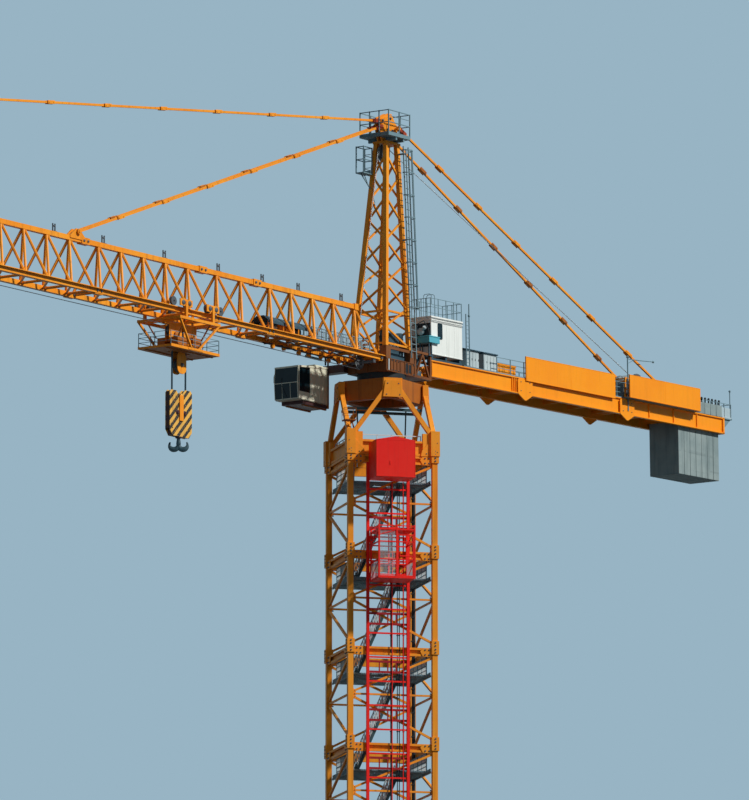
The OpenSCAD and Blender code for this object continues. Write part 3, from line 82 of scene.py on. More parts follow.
class Body(Enum):
    """The bodies of the model that a piece can ride on."""

    MAST = "mast"
    LIFT = "lift"
    UPPER = "upper_works"
    TROLLEY = "trolley"
    BLOCK = "hook_block"
    HOOK = "hook"


class Slot(Enum):
    """The material slots of the record."""

    CRANE = "crane_paint"
    LIFT = "lift_paint"
    GREY = "grey_paint"
    DARK = "dark_steel"
    ROPE = "rope_steel"
    HOUSE = "house_paint"
    CABINET = "cabinet_paint"
    CONCRETE = "concrete"
    GLASS = "cab_window"
    STRIPES = "hook_stripes"


def linear(hex_colour: str) -> tuple[float, float, float, float]:
    """Turns a written colour into the linear values that a shader takes.

    Args:
        hex_colour: six hexadecimal digits, red first.

    Returns:
        Red, green, blue and an opaque alpha.
    """
    parts = [int(hex_colour[i:i + 2], 16) / 255 for i in (0, 2, 4)]
    rgb = [c / 12.92 if c <= 0.04045 else ((c + 0.055) / 1.055) ** 2.4 for c in parts]
    return rgb[0], rgb[1], rgb[2], 1.0


def circle(count: int, radius: float = 1.0, x: float = 0.0, y: float = 0.0, start: float = 0.0) -> Pairs:
    """Spaces points evenly on a circle.

    Args:
        count: how many points.
        radius: the circle's radius.
        x: first coordinate of its middle.
        y: second coordinate of its middle.
        start: where the first point stands, in steps.

    Returns:
        The points as pairs.
    """
    turns = [math.tau * (k + start) / count for k in range(count)]
    return [(x + radius * math.cos(t), y + radius * math.sin(t)) for t in turns]


def rounded(x: float, z: float, width: float, height: float, radius: float, steps: int = 4) -> Pairs:
    """Draws a rectangle with rounded corners.

    Args:
        x: its low first coordinate.
        z: its low second coordinate.
        width: size along the first coordinate.
        height: size along the second coordinate.
        radius: radius of the corners.
        steps: straight pieces to a corner.

    Returns:
        The outline's points.
    """
    points = []
    for right, up, start in ((1, 0, -90), (1, 1, 0), (0, 1, 90), (0, 0, 180)):
        cx = x + (width - radius if right else radius)
        cz = z + (height - radius if up else radius)
        for k in range(steps + 1):
            a = math.radians(start + 90 * k / steps)
            points.append((cx + radius * math.cos(a), cz + radius * math.sin(a)))
    return points


class NodeBoard:
    """A small helper that adds and joins the nodes of one material or world."""

    def __init__(self, tree: bpy.types.NodeTree) -> None:
        """Takes the tree that the nodes go to."""
        self.tree = tree

    def add(self, kind: str, **settings: object) -> bpy.types.Node:
        """Adds a node and sets its properties and unlinked inputs.

        Args:
            kind: the node's type name.
            settings: properties of the node, or inputs with spaces written as underscores.

        Returns:
            The new node.
        """
        node = self.tree.nodes.new(kind)
        for key, value in settings.items():
            if hasattr(node, key):
                setattr(node, key, value)
            else:
                self.feed(value, node.inputs[key.replace("_", " ")])
        return node

    def feed(self, item: object, target: Socket) -> None:
        """Gives an input its value.

        Args:
            item: a socket to link, a written colour, or a number.
            target: the input.
        """
        if isinstance(item, Socket):
            self.tree.links.new(item, target)
        else:
            target.default_value = linear(item) if isinstance(item, str) else item

    def place(self) -> Socket:
        """Gives the object's own coordinates."""
        return self.add("ShaderNodeTexCoord").outputs["Object"]

    def band(self, value: Socket, low: float, high: float, to_low: float = 0.0,
             to_high: float = 1.0) -> Socket:
        """Maps a value from one range to another and clamps it.

        Args:
            value: the socket to map.
            low: the value that becomes to_low.
            high: the value that becomes to_high.
            to_low: result at the low end.
            to_high: result at the high end.

        Returns:
            The mapped value.
        """
        return self.add("ShaderNodeMapRange", Value=value, From_Min=low, From_Max=high, To_Min=to_low,
                        To_Max=to_high).outputs["Result"]

    def noise(self, scale: float, detail: float, *limits: float, stretch: Point = (1, 1, 1)) -> Socket:
        """Adds noise over the object's own coordinates.

        Args:
            scale: features to the metre.
            detail: octaves of finer noise.
            limits: what band() takes after its value; none leaves the noise as it is.
            stretch: factors of the coordinates, small along the direction of long streaks.

        Returns:
            The noise's value.
        """
        spot = self.add("ShaderNodeMapping", Vector=self.place(), Scale=stretch).outputs["Vector"]
        value = self.add("ShaderNodeTexNoise", Vector=spot, Scale=scale, Detail=detail,
                         Roughness=0.6).outputs["Fac"]
        return self.band(value, *limits) if limits else value

    def math(self, operation: str, a: object, b: object = 0.0) -> Socket:
        """Adds a math node.

        Args:
            operation: the operation's name.
            a: a socket or a number.
            b: a socket or a number.

        Returns:
            The result.
        """
        node = self.add("ShaderNodeMath", operation=operation)
        self.feed(a, node.inputs[0])
        self.feed(b, node.inputs[1])
        return node.outputs["Value"]

    def blend(self, share: Socket, a: object, b: object) -> Socket:
        """Mixes two colours.

        Args:
            share: how much of the second colour shows.
            a: a written colour or a socket.
            b: a written colour or a socket.

        Returns:
            The mixed colour.
        """
        node = self.add("ShaderNodeMix", data_type="RGBA")
        for place, item in ((0, share), (6, a), (7, b)):
            self.feed(item, node.inputs[place])
        return node.outputs[2]

    def looked_at(self) -> Socket:
        """Tells what is looked at from the light that it throws on others.

        Returns:
            1 where the surface itself is seen, otherwise 0.
        """
        path = self.add("ShaderNodeLightPath").outputs
        through = self.math("MAXIMUM", path["Is Glossy Ray"], path["Is Transmission Ray"])
        return self.math("MAXIMUM", path["Is Camera Ray"], through)

    def surface(self, colour: Socket, rough: object, **others: float) -> None:
        """Feeds the material's shader.

        Args:
            colour: the base colour.
            rough: the roughness.
            others: further inputs with spaces written as underscores.
        """
        shader = self.tree.nodes["Principled BSDF"]
        for key, item in {"Base_Color": colour, "Roughness": rough, **others}.items():
            self.feed(item, shader.inputs[key.replace("_", " ")])

    def relief(self, height: Socket, strength: float, distance: float) -> None:
        """Bumps the surface by a height.

        Args:
            height: the height.
            strength: how much of the bump shows.
            distance: its depth in metres.
        """
        bump = self.add("ShaderNodeBump", Height=height, Strength=strength, Distance=distance)
        self.feed(bump.outputs["Normal"], self.tree.nodes["Principled BSDF"].inputs["Normal"])


@dataclass(frozen=True)
class Finish:
    """A finish by its name; each kind of surface lays its own nodes."""

    name: str

    def lay(self, board: NodeBoard) -> None:
        """Adds the finish's nodes to its material."""
        raise NotImplementedError

    def material(self) -> bpy.types.Material:
        """Makes the finish's material once.

        Returns:
            The material.
        """
        found = bpy.data.materials.get(self.name)
        if found is None:
            found = bpy.data.materials.new(self.name)
            found.use_nodes = True
            self.lay(NodeBoard(found.node_tree))
        return found


@dataclass(frozen=True)
class Paint(Finish):
    """Weathered paint on steel: faded patches, rain streaks, specks of grime, and painted shade in the grime colour on
    faces that point down.
    """

    colour: str = "F09010"
    faded: str = "F4A83C"
    grime_and_shade: str = "5A3A1C"
    # dirt: strength of the grime and of the painted underside shade
    dirt: float = 0.5
    roughness: float = 0.42
    shine: float = 0.3

    def lay(self, board: NodeBoard) -> None:
        """Adds the nodes of weathered paint, with painted shade on its undersides.

        Args:
            board: takes the nodes.
        """
        base = board.blend(board.noise(3.1, 4, 0.35, 0.68), self.colour, self.faded)
        streaks = board.noise(46, 4, 0.52, 0.78, stretch=(1, 1, 0.06))
        specks = board.noise(210, 2, 0.63, 0.74, 0.0, 0.7)
        normal = board.add("ShaderNodeNewGeometry").outputs["Normal"]
        split = board.add("ShaderNodeSeparateXYZ", Vector=normal)
        # painted shade: faces that point down darken towards the grime colour
        under = board.band(split.outputs["Z"], -0.15, -0.75, 0.0, 0.55)
        worn = board.math("MAXIMUM", board.math("MULTIPLY", streaks, 0.75), specks)
        grime_and_shade_share = board.math("MULTIPLY", board.math("MAXIMUM", worn, under), self.dirt)
        rough = board.noise(60, 3, 0.3, 0.75, self.roughness - 0.07, self.roughness + 0.16)
        board.surface(board.blend(grime_and_shade_share, base, self.grime_and_shade), rough, Specular_IOR_Level=self.shine)
        board.relief(board.noise(160, 3), 0.25, 0.0006)


@dataclass(frozen=True)
class Steel(Finish):
    """Bare or greased steel with darker grease and a dull shine."""

    colour: str = "3A4448"
    grease: str = "171B1D"
    metal: float = 0.75
    roughness: float = 0.42

    def lay(self, board: NodeBoard) -> None:
        """Adds the nodes of worked steel.

        Args:
            board: takes the nodes.
        """
        rough = board.noise(90, 3, 0.3, 0.75, self.roughness - 0.12, self.roughness + 0.2)
        board.surface(board.blend(board.noise(24, 5, 0.38, 0.66), self.colour, self.grease), rough,
                      Metallic=self.metal)
        board.relief(board.noise(240, 2), 0.3, 0.0005)


@dataclass(frozen=True)
class Strands(Finish):
    """Wire rope: slanting strands with dark furrows."""

    colour: str = "A9AFB0"
    furrow: str = "3B4042"
    pitch: float = 330.0

    def lay(self, board: NodeBoard) -> None:
        """Adds the nodes of laid strands.

        Args:
            board: takes the nodes.
        """
        wave = board.add("ShaderNodeTexWave", wave_type="BANDS", bands_direction="DIAGONAL",
                         Scale=self.pitch, Distortion=0.4, Vector=board.place()).outputs["Fac"]
        board.surface(board.blend(board.band(wave, 0.2, 0.8), self.furrow, self.colour),
                      board.noise(80, 2, 0.3, 0.7, 0.35, 0.6), Metallic=0.7)
        board.relief(wave, 0.5, 0.0008)


@dataclass(frozen=True)
class Concrete(Finish):
    """Cast concrete: pores, pour lines and rain stains."""

    colour: str = "7C8E90"
    pale: str = "94A3A3"
    stain: str = "566466"

    def lay(self, board: NodeBoard) -> None:
        """Adds the nodes of cast concrete.

        Args:
            board: takes the nodes.
        """
        base = board.blend(board.noise(7, 6, 0.35, 0.7), self.colour, self.pale)
        runs = board.noise(38, 4, 0.5, 0.8, 0.0, 0.7, stretch=(1, 1, 0.08))
        pours = board.noise(30, 2, 0.6, 0.75, 0.0, 0.4, stretch=(0.05, 0.05, 1))
        board.surface(board.blend(board.math("MAXIMUM", runs, pours), base, self.stain),
                      board.noise(50, 3, 0.3, 0.7, 0.78, 0.95))
        pores = board.add("ShaderNodeTexVoronoi", Scale=190.0, Vector=board.place())
        board.relief(board.band(pores.outputs["Distance"], 0.0, 0.35), 0.45, 0.0009)


@dataclass(frozen=True)
class WarningBands(Finish):
    """Slanting black bands on yellow paint, worn at their edges."""

    yellow: str = "E8B04A"
    black: str = "17181A"
    dirt: str = "4A3A22"
    pitch: float = 0.049

    def lay(self, board: NodeBoard) -> None:
        """Adds the nodes of the bands.

        Args:
            board: takes the nodes.
        """
        split = board.add("ShaderNodeSeparateXYZ", Vector=board.place()).outputs
        slant = board.math("ADD", board.math("ADD", split["X"], split["Z"]),
                           board.noise(120, 3, 0.3, 0.7, -0.0015, 0.0015))
        phase = board.math("FRACT", board.math("DIVIDE", slant, self.pitch))
        black = board.band(board.math("ABSOLUTE", board.math("SUBTRACT", phase, 0.5)), 0.245, 0.255)
        worn = board.math("MULTIPLY", black, board.noise(150, 3, 0.66, 0.58, 0.35, 1.0))
        paint = board.blend(worn, self.yellow, self.black)
        dirty = board.noise(30, 4, 0.5, 0.75, 0.0, 0.5, stretch=(1, 1, 0.2))
        board.surface(board.blend(dirty, paint, self.dirt), board.noise(70, 3, 0.3, 0.75, 0.4, 0.62))
        board.relief(board.noise(130, 3), 0.25, 0.0006)


@dataclass(frozen=True)
class Glass(Finish):
    """Dark tinted glass with a film of dust."""

    colour: str = "14262E"
    dust: str = "40585F"

    def lay(self, board: NodeBoard) -> None:
        """Adds the nodes of dusty glass."""
        film = board.noise(14, 5, 0.45, 0.8, 0.0, 0.2)
        rough = board.noise(20, 4, 0.4, 0.8, 0.04, 0.2)
        board.surface(board.blend(film, self.colour, self.dust), rough, IOR=1.3)


@dataclass(frozen=True)
class FloorFinish(Finish):
    """Plain pale floor with a faint grain, darker for the light that it throws up."""

    colour: str = "B9C6CB"
    grain: str = "AFBCC2"
    thrown: str = "26282C"

    def lay(self, board: NodeBoard) -> None:
        """Adds the nodes of the floor."""
        pale = board.blend(board.noise(1.2, 4, 0.3, 0.7), self.colour, self.grain)
        board.surface(board.blend(board.looked_at(), self.thrown, pale), 0.85)


class Finishes:
    """The finishes that the crane's pieces take."""

    crane = Paint("crane_orange", "F08E10", "F6A024", "5A3212", 0.55, 0.5)
    # darker copy of the crane orange: painted shade for parts in shade (ring support, cab backing, far tie forks,
    # trolley deck and panels, corner landing)
    crane_shade = Paint("crane_orange_shade", "A05612", "B46C1E", "301A0C", 0.85, 0.6)
    # dark brown copy of the crane paint: painted shade on the turntable and its ribs
    umber_shade = Paint("turntable_umber_shade", "6C3C18", "804C22", "22140C", 0.7, 0.6)
    board = Paint("board_orange", "F89204", "FE9E08", "A86410", 0.25, 0.5)
    rust = Paint("primer_red", "8E2E14", "A6401E", "2E120A", 0.6, 0.6)
    lift = Paint("lift_red", "F41408", "F82410", "8A1408", 0.25, 0.5)
    grey = Paint("railing_grey", "62808A", "7C98A2", "2C3A3E", 0.5, 0.6)
    pale = Paint("railing_pale", "9DB4BE", "B4C6CE", "50666E", 0.45, 0.6)
    crimson = Paint("rail_crimson", "9C1018", "A81A20", "3A0A0C", 0.4, 0.5)
    wan = Paint("railing_wan", "C4D4DA", "D6E2E6", "7E949C", 0.35, 0.6)
    teal = Paint("stair_teal", "2F4A50", "42626A", "16262A", 0.5, 0.6)
    turquoise = Paint("box_turquoise", "3FA0B4", "62B8C8", "2A5C68", 0.4, 0.5)
    slate = Paint("machine_slate", "2C4450", "3C5866", "141E24", 0.5, 0.5)
    # black for cables, hoses, lugs, rings and seat; also painted shade where a black sheet, block or line stands in
    # for shade
    black = Paint("black_and_painted_shade", "14191C", "22292D", "0A0C0E", 0.5, 0.6)
    # maroon: on the cab bracket it is painted shade
    maroon = Paint("block_maroon", "3A1E20", "4A2826", "180C0C", 0.5, 0.55)
    forged = Steel("forged_steel", "3C5A64", "1C2C32", 0.35, 0.5)
    house = Paint("house_white", "E6ECE8", "F0F3F0", "8A8F88", 0.4, 0.45)
    cabinet = Paint("cabinet_grey", "A9B8BC", "BECBCE", "5B6668", 0.45, 0.5)
    cream = Paint("cab_cream", "D9D8C2", "E6E5D4", "8C8768", 0.5, 0.42)
    dark = Steel("dark_steel")
    rope = Strands("wire_rope")
    concrete = Concrete("cast_concrete")
    glass = Glass("tinted_glass")
    stripes = WarningBands("warning_bands")
    floor = FloorFinish("floor")


SLOT_FINISH: dict[Slot, Finish] = {
    Slot.CRANE: Finishes.crane, Slot.LIFT: Finishes.lift, Slot.GREY: Finishes.grey,
    Slot.DARK: Finishes.dark, Slot.ROPE: Finishes.rope, Slot.HOUSE: Finishes.house,
    Slot.CABINET: Finishes.cabinet, Slot.CONCRETE: Finishes.concrete, Slot.GLASS: Finishes.glass,
    Slot.STRIPES: Finishes.stripes,
}


@dataclass
class Studio:
    """Camera, light and floor."""

    axis_px: tuple[float, float] = (381.5, 363.0)
    frame_px: tuple[float, float] = (749.0, 800.0)
    focal_px: float = 9270.0
    mm_per_px: float = 5.0
    turn: float = math.radians(54.8)
    look_up: float = math.radians(9.56)
    sky: str = "98B4C4"
    fill: Point = (0.68, 0.87, 1.0, 1.0)
    sun_colour: Point = (1.0, 0.97, 0.92)
    sun_from: Point = (-0.25, 1.0, 0.85)
    sun_power: float = 3.6
    fill_power: float = 0.21

    def build(self) -> None:
        """Makes the camera, the lamps, the world and the floor."""
        bpy.context.scene.view_settings.view_transform = "Standard"
        self.camera()
        self.light()
        self.world()
        self.floor()

    def link(self, name: str, data: bpy.types.ID) -> bpy.types.Object:
        """Puts an object into the scene.

        Args:
            name: the object's name.
            data: what it shows.

        Returns:
            The new object.
        """
        made = bpy.data.objects.new(name, data)
        bpy.context.scene.collection.objects.link(made)
        return made

    def camera(self) -> None:
        """Places the camera where the photograph was taken from."""
        toward = Vector((math.sin(self.turn) * math.cos(self.look_up),
                         math.cos(self.turn) * math.cos(self.look_up), -math.sin(self.look_up)))
        right = Vector((-math.cos(self.turn), math.sin(self.turn), 0.0))
        data = bpy.data.cameras.new("camera")
        long_side = max(self.frame_px)
        data.sensor_width = 36.0
        data.lens = 36.0 * self.focal_px / long_side
        data.shift_x = (self.frame_px[0] / 2 - self.axis_px[0]) / long_side
        data.shift_y = (self.axis_px[1] - self.frame_px[1] / 2) / long_side
        data.clip_start, data.clip_end = 1.0, 400.0
        turn = Matrix((right, toward.cross(right), toward)).transposed().to_4x4()
        spot = Vector((0, 0, JIB_Z * MM)) + toward * self.focal_px * self.mm_per_px * MM
        camera = self.link("camera", data)
        camera.matrix_world = Matrix.Translation(spot) @ turn
        bpy.context.scene.camera = camera

    def light(self) -> None:
        """Adds a soft sun from the side of the service lift."""
        data = bpy.data.lights.new("sun", "SUN")
        data.energy, data.angle, data.color = self.sun_power, math.radians(3.0), self.sun_colour
        self.link("sun", data).rotation_euler = Vector(self.sun_from).to_track_quat("Z", "Y").to_euler()

    def world(self) -> None:
        """Gives the background its plain tone, apart from the light that falls on the crane."""
        world = bpy.data.worlds.new("world")
        world.use_nodes = True
        board = NodeBoard(world.node_tree)
        board.tree.nodes.clear()
        light = board.add("ShaderNodeBackground", Color=self.fill, Strength=self.fill_power)
        seen = board.add("ShaderNodeBackground", Color=self.sky)
        mix = board.add("ShaderNodeMixShader")
        for place, item in enumerate((board.looked_at(), light.outputs[0], seen.outputs[0])):
            board.feed(item, mix.inputs[place])
        board.add("ShaderNodeOutputWorld", Surface=mix.outputs[0])
        bpy.context.scene.world = world

    def floor(self) -> None:
        """Adds a round floor that ends short of the camera, which stands below it."""
        mesh = bmesh.new()
        bmesh.ops.create_circle(mesh, cap_ends=True, radius=30.0, segments=128)
        data = bpy.data.meshes.new("floor")
        mesh.to_mesh(data)
        mesh.free()
        data.materials.append(Finishes.floor.material())
        floor = self.link("floor", data)
        floor.location = (-18.2, -12.8, -0.001)


class Sketch:
    """Collects the faces of one piece, in millimetres, before it becomes an object."""

    def __init__(self, placing: Matrix | None = None) -> None:
        """Starts an empty piece.

        Args:
            placing: where the drawn coordinates lie in the model's frame.
        """
        self.mesh = bmesh.new()
        self.placing = placing or Matrix.Identity(4)
        self.sides: tuple[int, ...] = (1,)

    @property
    def both(self) -> "Sketch":
        """Lets shapes be drawn on both sides of y = 0.

        Returns:
            The same piece, for further shapes.
        """
        view = copy.copy(self)
        view.sides = (1, -1)
        return view

    def loft(self, rings: Sequence[Sequence[Point]], smooth: bool = False) -> None:
        """Skins rings of equal length and caps the first and the last.

        Args:
            rings: rings of points, all in the same turning sense.
            smooth: whether the skin is shaded smooth.
        """
        for s in self.sides:
            made = [[self.mesh.verts.new(self.placing @ Vector((p[0], p[1] * s, p[2]))) for p in ring]
                    for ring in rings]
            for low, high in zip(made, made[1:]):
                for i in range(len(low)):
                    face = self.mesh.faces.new((low[i - 1], low[i], high[i], high[i - 1]))
                    face.smooth = smooth
            self.mesh.faces.new(made[0][::-1])
            self.mesh.faces.new(made[-1])

    def box(self, x0: float, x1: float, y0: float, y1: float, z0: float, z1: float) -> None:
        """Adds a block between two places along each axis."""
        self.loft([[(x0, y0, z), (x1, y0, z), (x1, y1, z), (x0, y1, z)] for z in (z0, z1)])

    def post(self, x: float, y: float, half: float, z0: float, z1: float) -> None:
        """Adds an upright square bar round a place."""
        self.box(x - half, x + half, y - half, y + half, z0, z1)

    def bar(self, a: Point, b: Point, width: float, height: float | None = None) -> None:
        """Adds a square or flat bar between two points.

        Args:
            a: one end.
            b: the other end.
            width: its level width.
            height: its other width, the same as the first unless given.
        """
        start, end = Vector(a), Vector(b)
        along = (end - start).normalized()
        side = along.cross(Vector(RISE))
        side = side.normalized() if side.length > 1e-4 else Vector(ALONG)
        rise = side.cross(along) * (height or width) / 2
        side = side * width / 2
        self.loft([[p - side - rise, p + side - rise, p + side + rise, p - side + rise]
                   for p in (start, end)])

    def tube(self, points: Sequence[Point], radius: float, sides: int = 8) -> None:
        """Sweeps a round section along points.

        Args:
            points: the middle line.
            radius: the section's radius.
            sides: sides of the section.
        """
        line = [Vector(p) for p in points]
        rings = []
        side: Vector | None = None
        for before, p, after in zip(line[:1] + line, line, line[1:] + line[-1:]):
            along = ((after - p).normalized() + (p - before).normalized()).normalized()
            if side is None:
                side = along.orthogonal()
            side = (side - along * side.dot(along)).normalized()
            rings.append([p + c * side + n * along.cross(side) for c, n in circle(sides, radius)])
        self.loft(rings, smooth=True)

    def turned(self, profile: Pairs, at: Point, axis: Point = RISE, sides: int = 24) -> None:
        """Turns a profile round an axis.

        Args:
            profile: radius and height pairs from one end to the other.
            at: where height 0 lies on the axis.
            axis: direction of the axis.
            sides: sides of the turned shape.
        """
        turn = Vector(RISE).rotation_difference(Vector(axis)).to_matrix()
        self.loft([[Vector(at) + turn @ Vector((c, n, h)) for c, n in circle(sides, max(r, 0.01))]
                   for r, h in profile], smooth=sides > 8)

    def plate(self, outline: Pairs, at: Point, thickness: float, across: Point = ALONG) -> None:
        """Adds an upright plate with a straight-sided outline.

        Args:
            outline: corners as pairs of a level place and a height.
            at: the outline's origin, in the middle of the thickness.
            thickness: how thick the plate is.
            across: direction of the outline's level places.
        """
        level = Vector(across)
        out = level.cross(Vector(RISE)) * thickness / 2
        flat = [Vector(at) + level * p + Vector((0, 0, q)) for p, q in outline]
        self.loft([[p - out for p in flat], [p + out for p in flat]])

    def bolts(self, xs: Iterable[float], ys: Iterable[float], zs: Iterable[float], axis: Point,
              size: float) -> None:
        """Adds a hexagon head on a washer at each crossing of the places.

        Args:
            xs: places along X.
            ys: places along Y.
            zs: places along Z.
            axis: where the heads point.
            size: radius of a washer.
        """
        for at in ((x, y, z) for x in xs for y in ys for z in zs):
            self.turned([(size * 1.05, 0), (size * 1.05, size * 0.2)], at, axis, 10)
            self.turned([(size * 0.75, size * 0.2), (size * 0.75, size * 0.85), (size * 0.55, size)],
                        at, axis, 6)

    def railing(self, corners: Sequence[Point], counts: Sequence[int], half: float,
                posts: tuple[float, float], rails: Iterable[float], width: float) -> None:
        """Adds a closed railing with posts and level rails.

        Args:
            corners: its corners, seen from above.
            counts: posts along each side, from corner to corner in turn.
            half: half the posts' width.
            posts: heights of their feet and heads.
            rails: heights of the rails.
            width: width of a rail.
        """
        for i, (a, b) in enumerate(zip(corners, [*corners[1:], corners[0]])):
            count = counts[i % len(counts)]
            for k in range(count):
                self.post(a[0] + (b[0] - a[0]) * k / count, a[1] + (b[1] - a[1]) * k / count, half, *posts)
            for z in rails:
                self.bar((*a, z), (*b, z), width)

    def done(self, name: str, finish: Finish, slot: Slot, bevel: float = 0.0,
             body: Body | None = Body.UPPER) -> bpy.types.Object:
        """Turns the sketch into an object that rides on a body.

        Args:
            name: the piece's name.
            finish: its finish.
            slot: the record's slot; not used.
            bevel: width of its rounded edges in millimetres.
            body: the body that it moves with, or None to leave it unattached.

        Returns:
            The new object.
        """
        self.mesh.transform(Matrix.Scale(MM, 4))
        bmesh.ops.recalc_face_normals(self.mesh, faces=self.mesh.faces)
        data = bpy.data.meshes.new(name)
        self.mesh.to_mesh(data)
        self.mesh.free()
        data.set_sharp_from_angle(angle=math.radians(38))
        data.materials.append(finish.material())
        piece = bpy.data.objects.new(name, data)
        bpy.context.scene.collection.objects.link(piece)
        if bevel:
            rounding = piece.modifiers.new("rounded_edges", "BEVEL")
            rounding.width, rounding.segments = bevel * MM, 2
            rounding.limit_method, rounding.angle_limit = "ANGLE", math.radians(40)
        if body:
            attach(piece, body.value)
        log.info("%s: %d faces on %s", name, len(data.polygons), body.value if body else "two bodies")
        return piece


def sketches(count: int, placing: Matrix | None = None) -> list[Sketch]:
    """Starts several empty pieces in one placing."""
    return [Sketch(placing) for _ in range(count)]


@dataclass
class CarriedPieces:
    """The model's own pieces that stay in view and get their finish."""

    own: dict[str, Finish] = field(default_factory=lambda: {
        # ring support, turntable and cab bracket take darkened copies of the crane paint as painted shade
        "ring_support": Finishes.crane_shade, "turntable": Finishes.umber_shade, "cab_bracket": Finishes.maroon,
        "slewing_ring_lower": Finishes.black, "slewing_ring_upper": Finishes.black,
    })

    def build(self) -> None:
        """Gives each piece of the model the finish of its slot."""
        slots = {p["node"]: p["material_slot"] for p in frame["record"]["subparts"]}
        for name, piece in frame["nodes"].items():
            finish = self.own.get(name, SLOT_FINISH[Slot(slots[name])])
            piece.data.materials.clear()
            piece.data.materials.append(finish.material())
            log.info("%s: %s", name, finish.name)


@dataclass
class JibPosts:
    """Pairs of short posts on the jib's top chord."""

    places: tuple[float, ...] = (349, 715, 1018, 1384, 1827, 2320, 2711, 3180, 3640, 4150, 4620, 5110,
                                 5600, 6080, 6560, 7020, 7700)
    top: float = 262.0
    height: float = 40.0

    def build(self) -> None:
        """Makes the posts with their rollers."""
        posts = Sketch(UPPER)
        for x in self.places:
            for at in (x - 9, x + 9):
                posts.post(at, 0, 2.5, self.top - 2, self.top + self.height)
            posts.box(x - 16, x + 16, -9, 9, self.top - 1, self.top + 3)
            posts.turned([(4.5, -7), (4.5, 7)], (x, 0, self.top + self.height - 12), ALONG, 12)
        posts.done("jib_posts", Finishes.dark, Slot.DARK)


@dataclass
class MastJoints:
    """Bolted gussets and sleeve bolts where the mast's sections meet, on all four faces."""

    leg: float = 216.0
    section: float = 480.0
    foot: float = 45.0
    face: float = 224.0
    sleeve: float = 235.0

    def build(self) -> None:
        """Makes the gussets and all bolts."""
        plates, bolts = sketches(2)
        edge = self.leg - 19.0
        outline = [(edge, -46), (edge, -3), (edge - 44, -3), (edge - 58, -20), (edge - 44, -46)]
        for k in range(4):
            plates.placing = bolts.placing = MAST @ Matrix.Rotation(math.pi / 2 * k, 4, "Z")
            for i in range(1, 7):
                z = self.foot + self.section * i
                plates.both.plate(outline, (self.face + 1.6, 0, z), 3, ACROSS)
                bolts.both.bolts([self.face + 3], (edge - 12, edge - 32), (z - 36, z - 12), ALONG, 4.2)
                bolts.both.bolts([self.sleeve], [self.leg], (z - 24, z - 9, z + 10, z + 25), ALONG, 4.2)
                middle = z - self.section / 2
                for s, reach in ((-1, 16), (1, 9.6)):
                    bolts.bolts([219.0], [s * (self.leg - 22)], (middle - reach, middle, middle + reach),
                                ALONG, 3.6)
        plates.done("mast_gussets", Finishes.crane, Slot.CRANE, 0.6, Body.MAST)
        bolts.done("mast_bolts", Finishes.dark, Slot.DARK, body=Body.MAST)


@dataclass
class MastDecks:
    """Platforms of the mast with their openings, railings with bar infill, kick plates and the riser."""

    first: float = 393.0
    step: float = 480.0
    half: float = 202.0
    rail_y: float = 186.0
    height: float = 92.0
    hole: tuple[float, float, float, float] = (33.0, 107.0, -62.0, 62.3)

    def build(self) -> None:
        """Makes the platforms, the railings, the kick plates and the riser."""
        bars, kicks, decks, riser = sketches(4, MAST)
        for i in range(6):
            z = self.first + self.step * i
            self.grating(decks, z)
            self.rails(bars, kicks, z)
        riser.tube([(-120, 196, 48), (-120, 196, 2806)], 9.0, 10)
        for z in range(120, 2780, 120):
            riser.box(-131, -109, 186, 202, z, z + 7)
        piece = decks.done("platform_decks", Finishes.grey, Slot.GREY, body=Body.MAST)
        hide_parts("mast_platforms")
        bars.done("platform_rail_bars", Finishes.wan, Slot.GREY, body=Body.MAST)
        kicks.done("platform_rails", Finishes.grey, Slot.GREY, body=Body.MAST)
        riser.done("cable_riser", Finishes.black, Slot.DARK, body=Body.MAST)

    def grating(self, decks: Sketch, z: float) -> None:
        """Adds one platform round its opening.

        Args:
            decks: takes the bars.
            z: the platform's top.
        """
        x0, x1, y0, y1 = self.hole
        h = self.half
        for n in range(45):
            y = 2 - h + n * 9.0
            for a, b in (((-h, x0), (x1, h)) if y0 < y < y1 else ((-h, h),)):
                decks.box(a, b, y - 1.3, y + 1.3, z - 5, z)
        for n in range(9):
            x = 4 - h + n * 49.5
            for a, b in (((-h, y0), (y1, h)) if x0 < x < x1 else ((-h, h),)):
                decks.box(x - 2, x + 2, a, b, z - 8, z - 1)
        for x in (x0, x1):
            decks.box(x - 1.5, x + 1.5, y0, y1, z - 9, z)
        decks.both.box(-h, h, h - 6, h, z - 11, z - 5.5)

    def rails(self, bars: Sketch, kicks: Sketch, z: float) -> None:
        """Adds both railings of one platform.

        Args:
            bars: takes the infill.
            kicks: takes the posts, the rails and the kick plates.
            z: the platform's top.
        """
        y, h = self.rail_y, self.half
        for x in range(-170, 171, 85):
            kicks.both.post(x, y, 2.5, z - 1, z + 92)
        for high in (46, 89.5):
            kicks.both.box(-172, 172, y - 2.5, y + 2.5, z + high, z + high + 4)
        for n in range(23):
            bars.both.post(-160 + n * 14.5, y, 1.7, z + 4, z + self.height - 3)
        for high in (0.28, 0.76):
            low = z + self.height * high
            bars.both.box(-168, 168, y - 1.6, y + 1.6, low, low + 3.4)
        kicks.both.box(4 - h, h - 4, h - 4.5, h - 1.5, z - 0.2, z + 13)


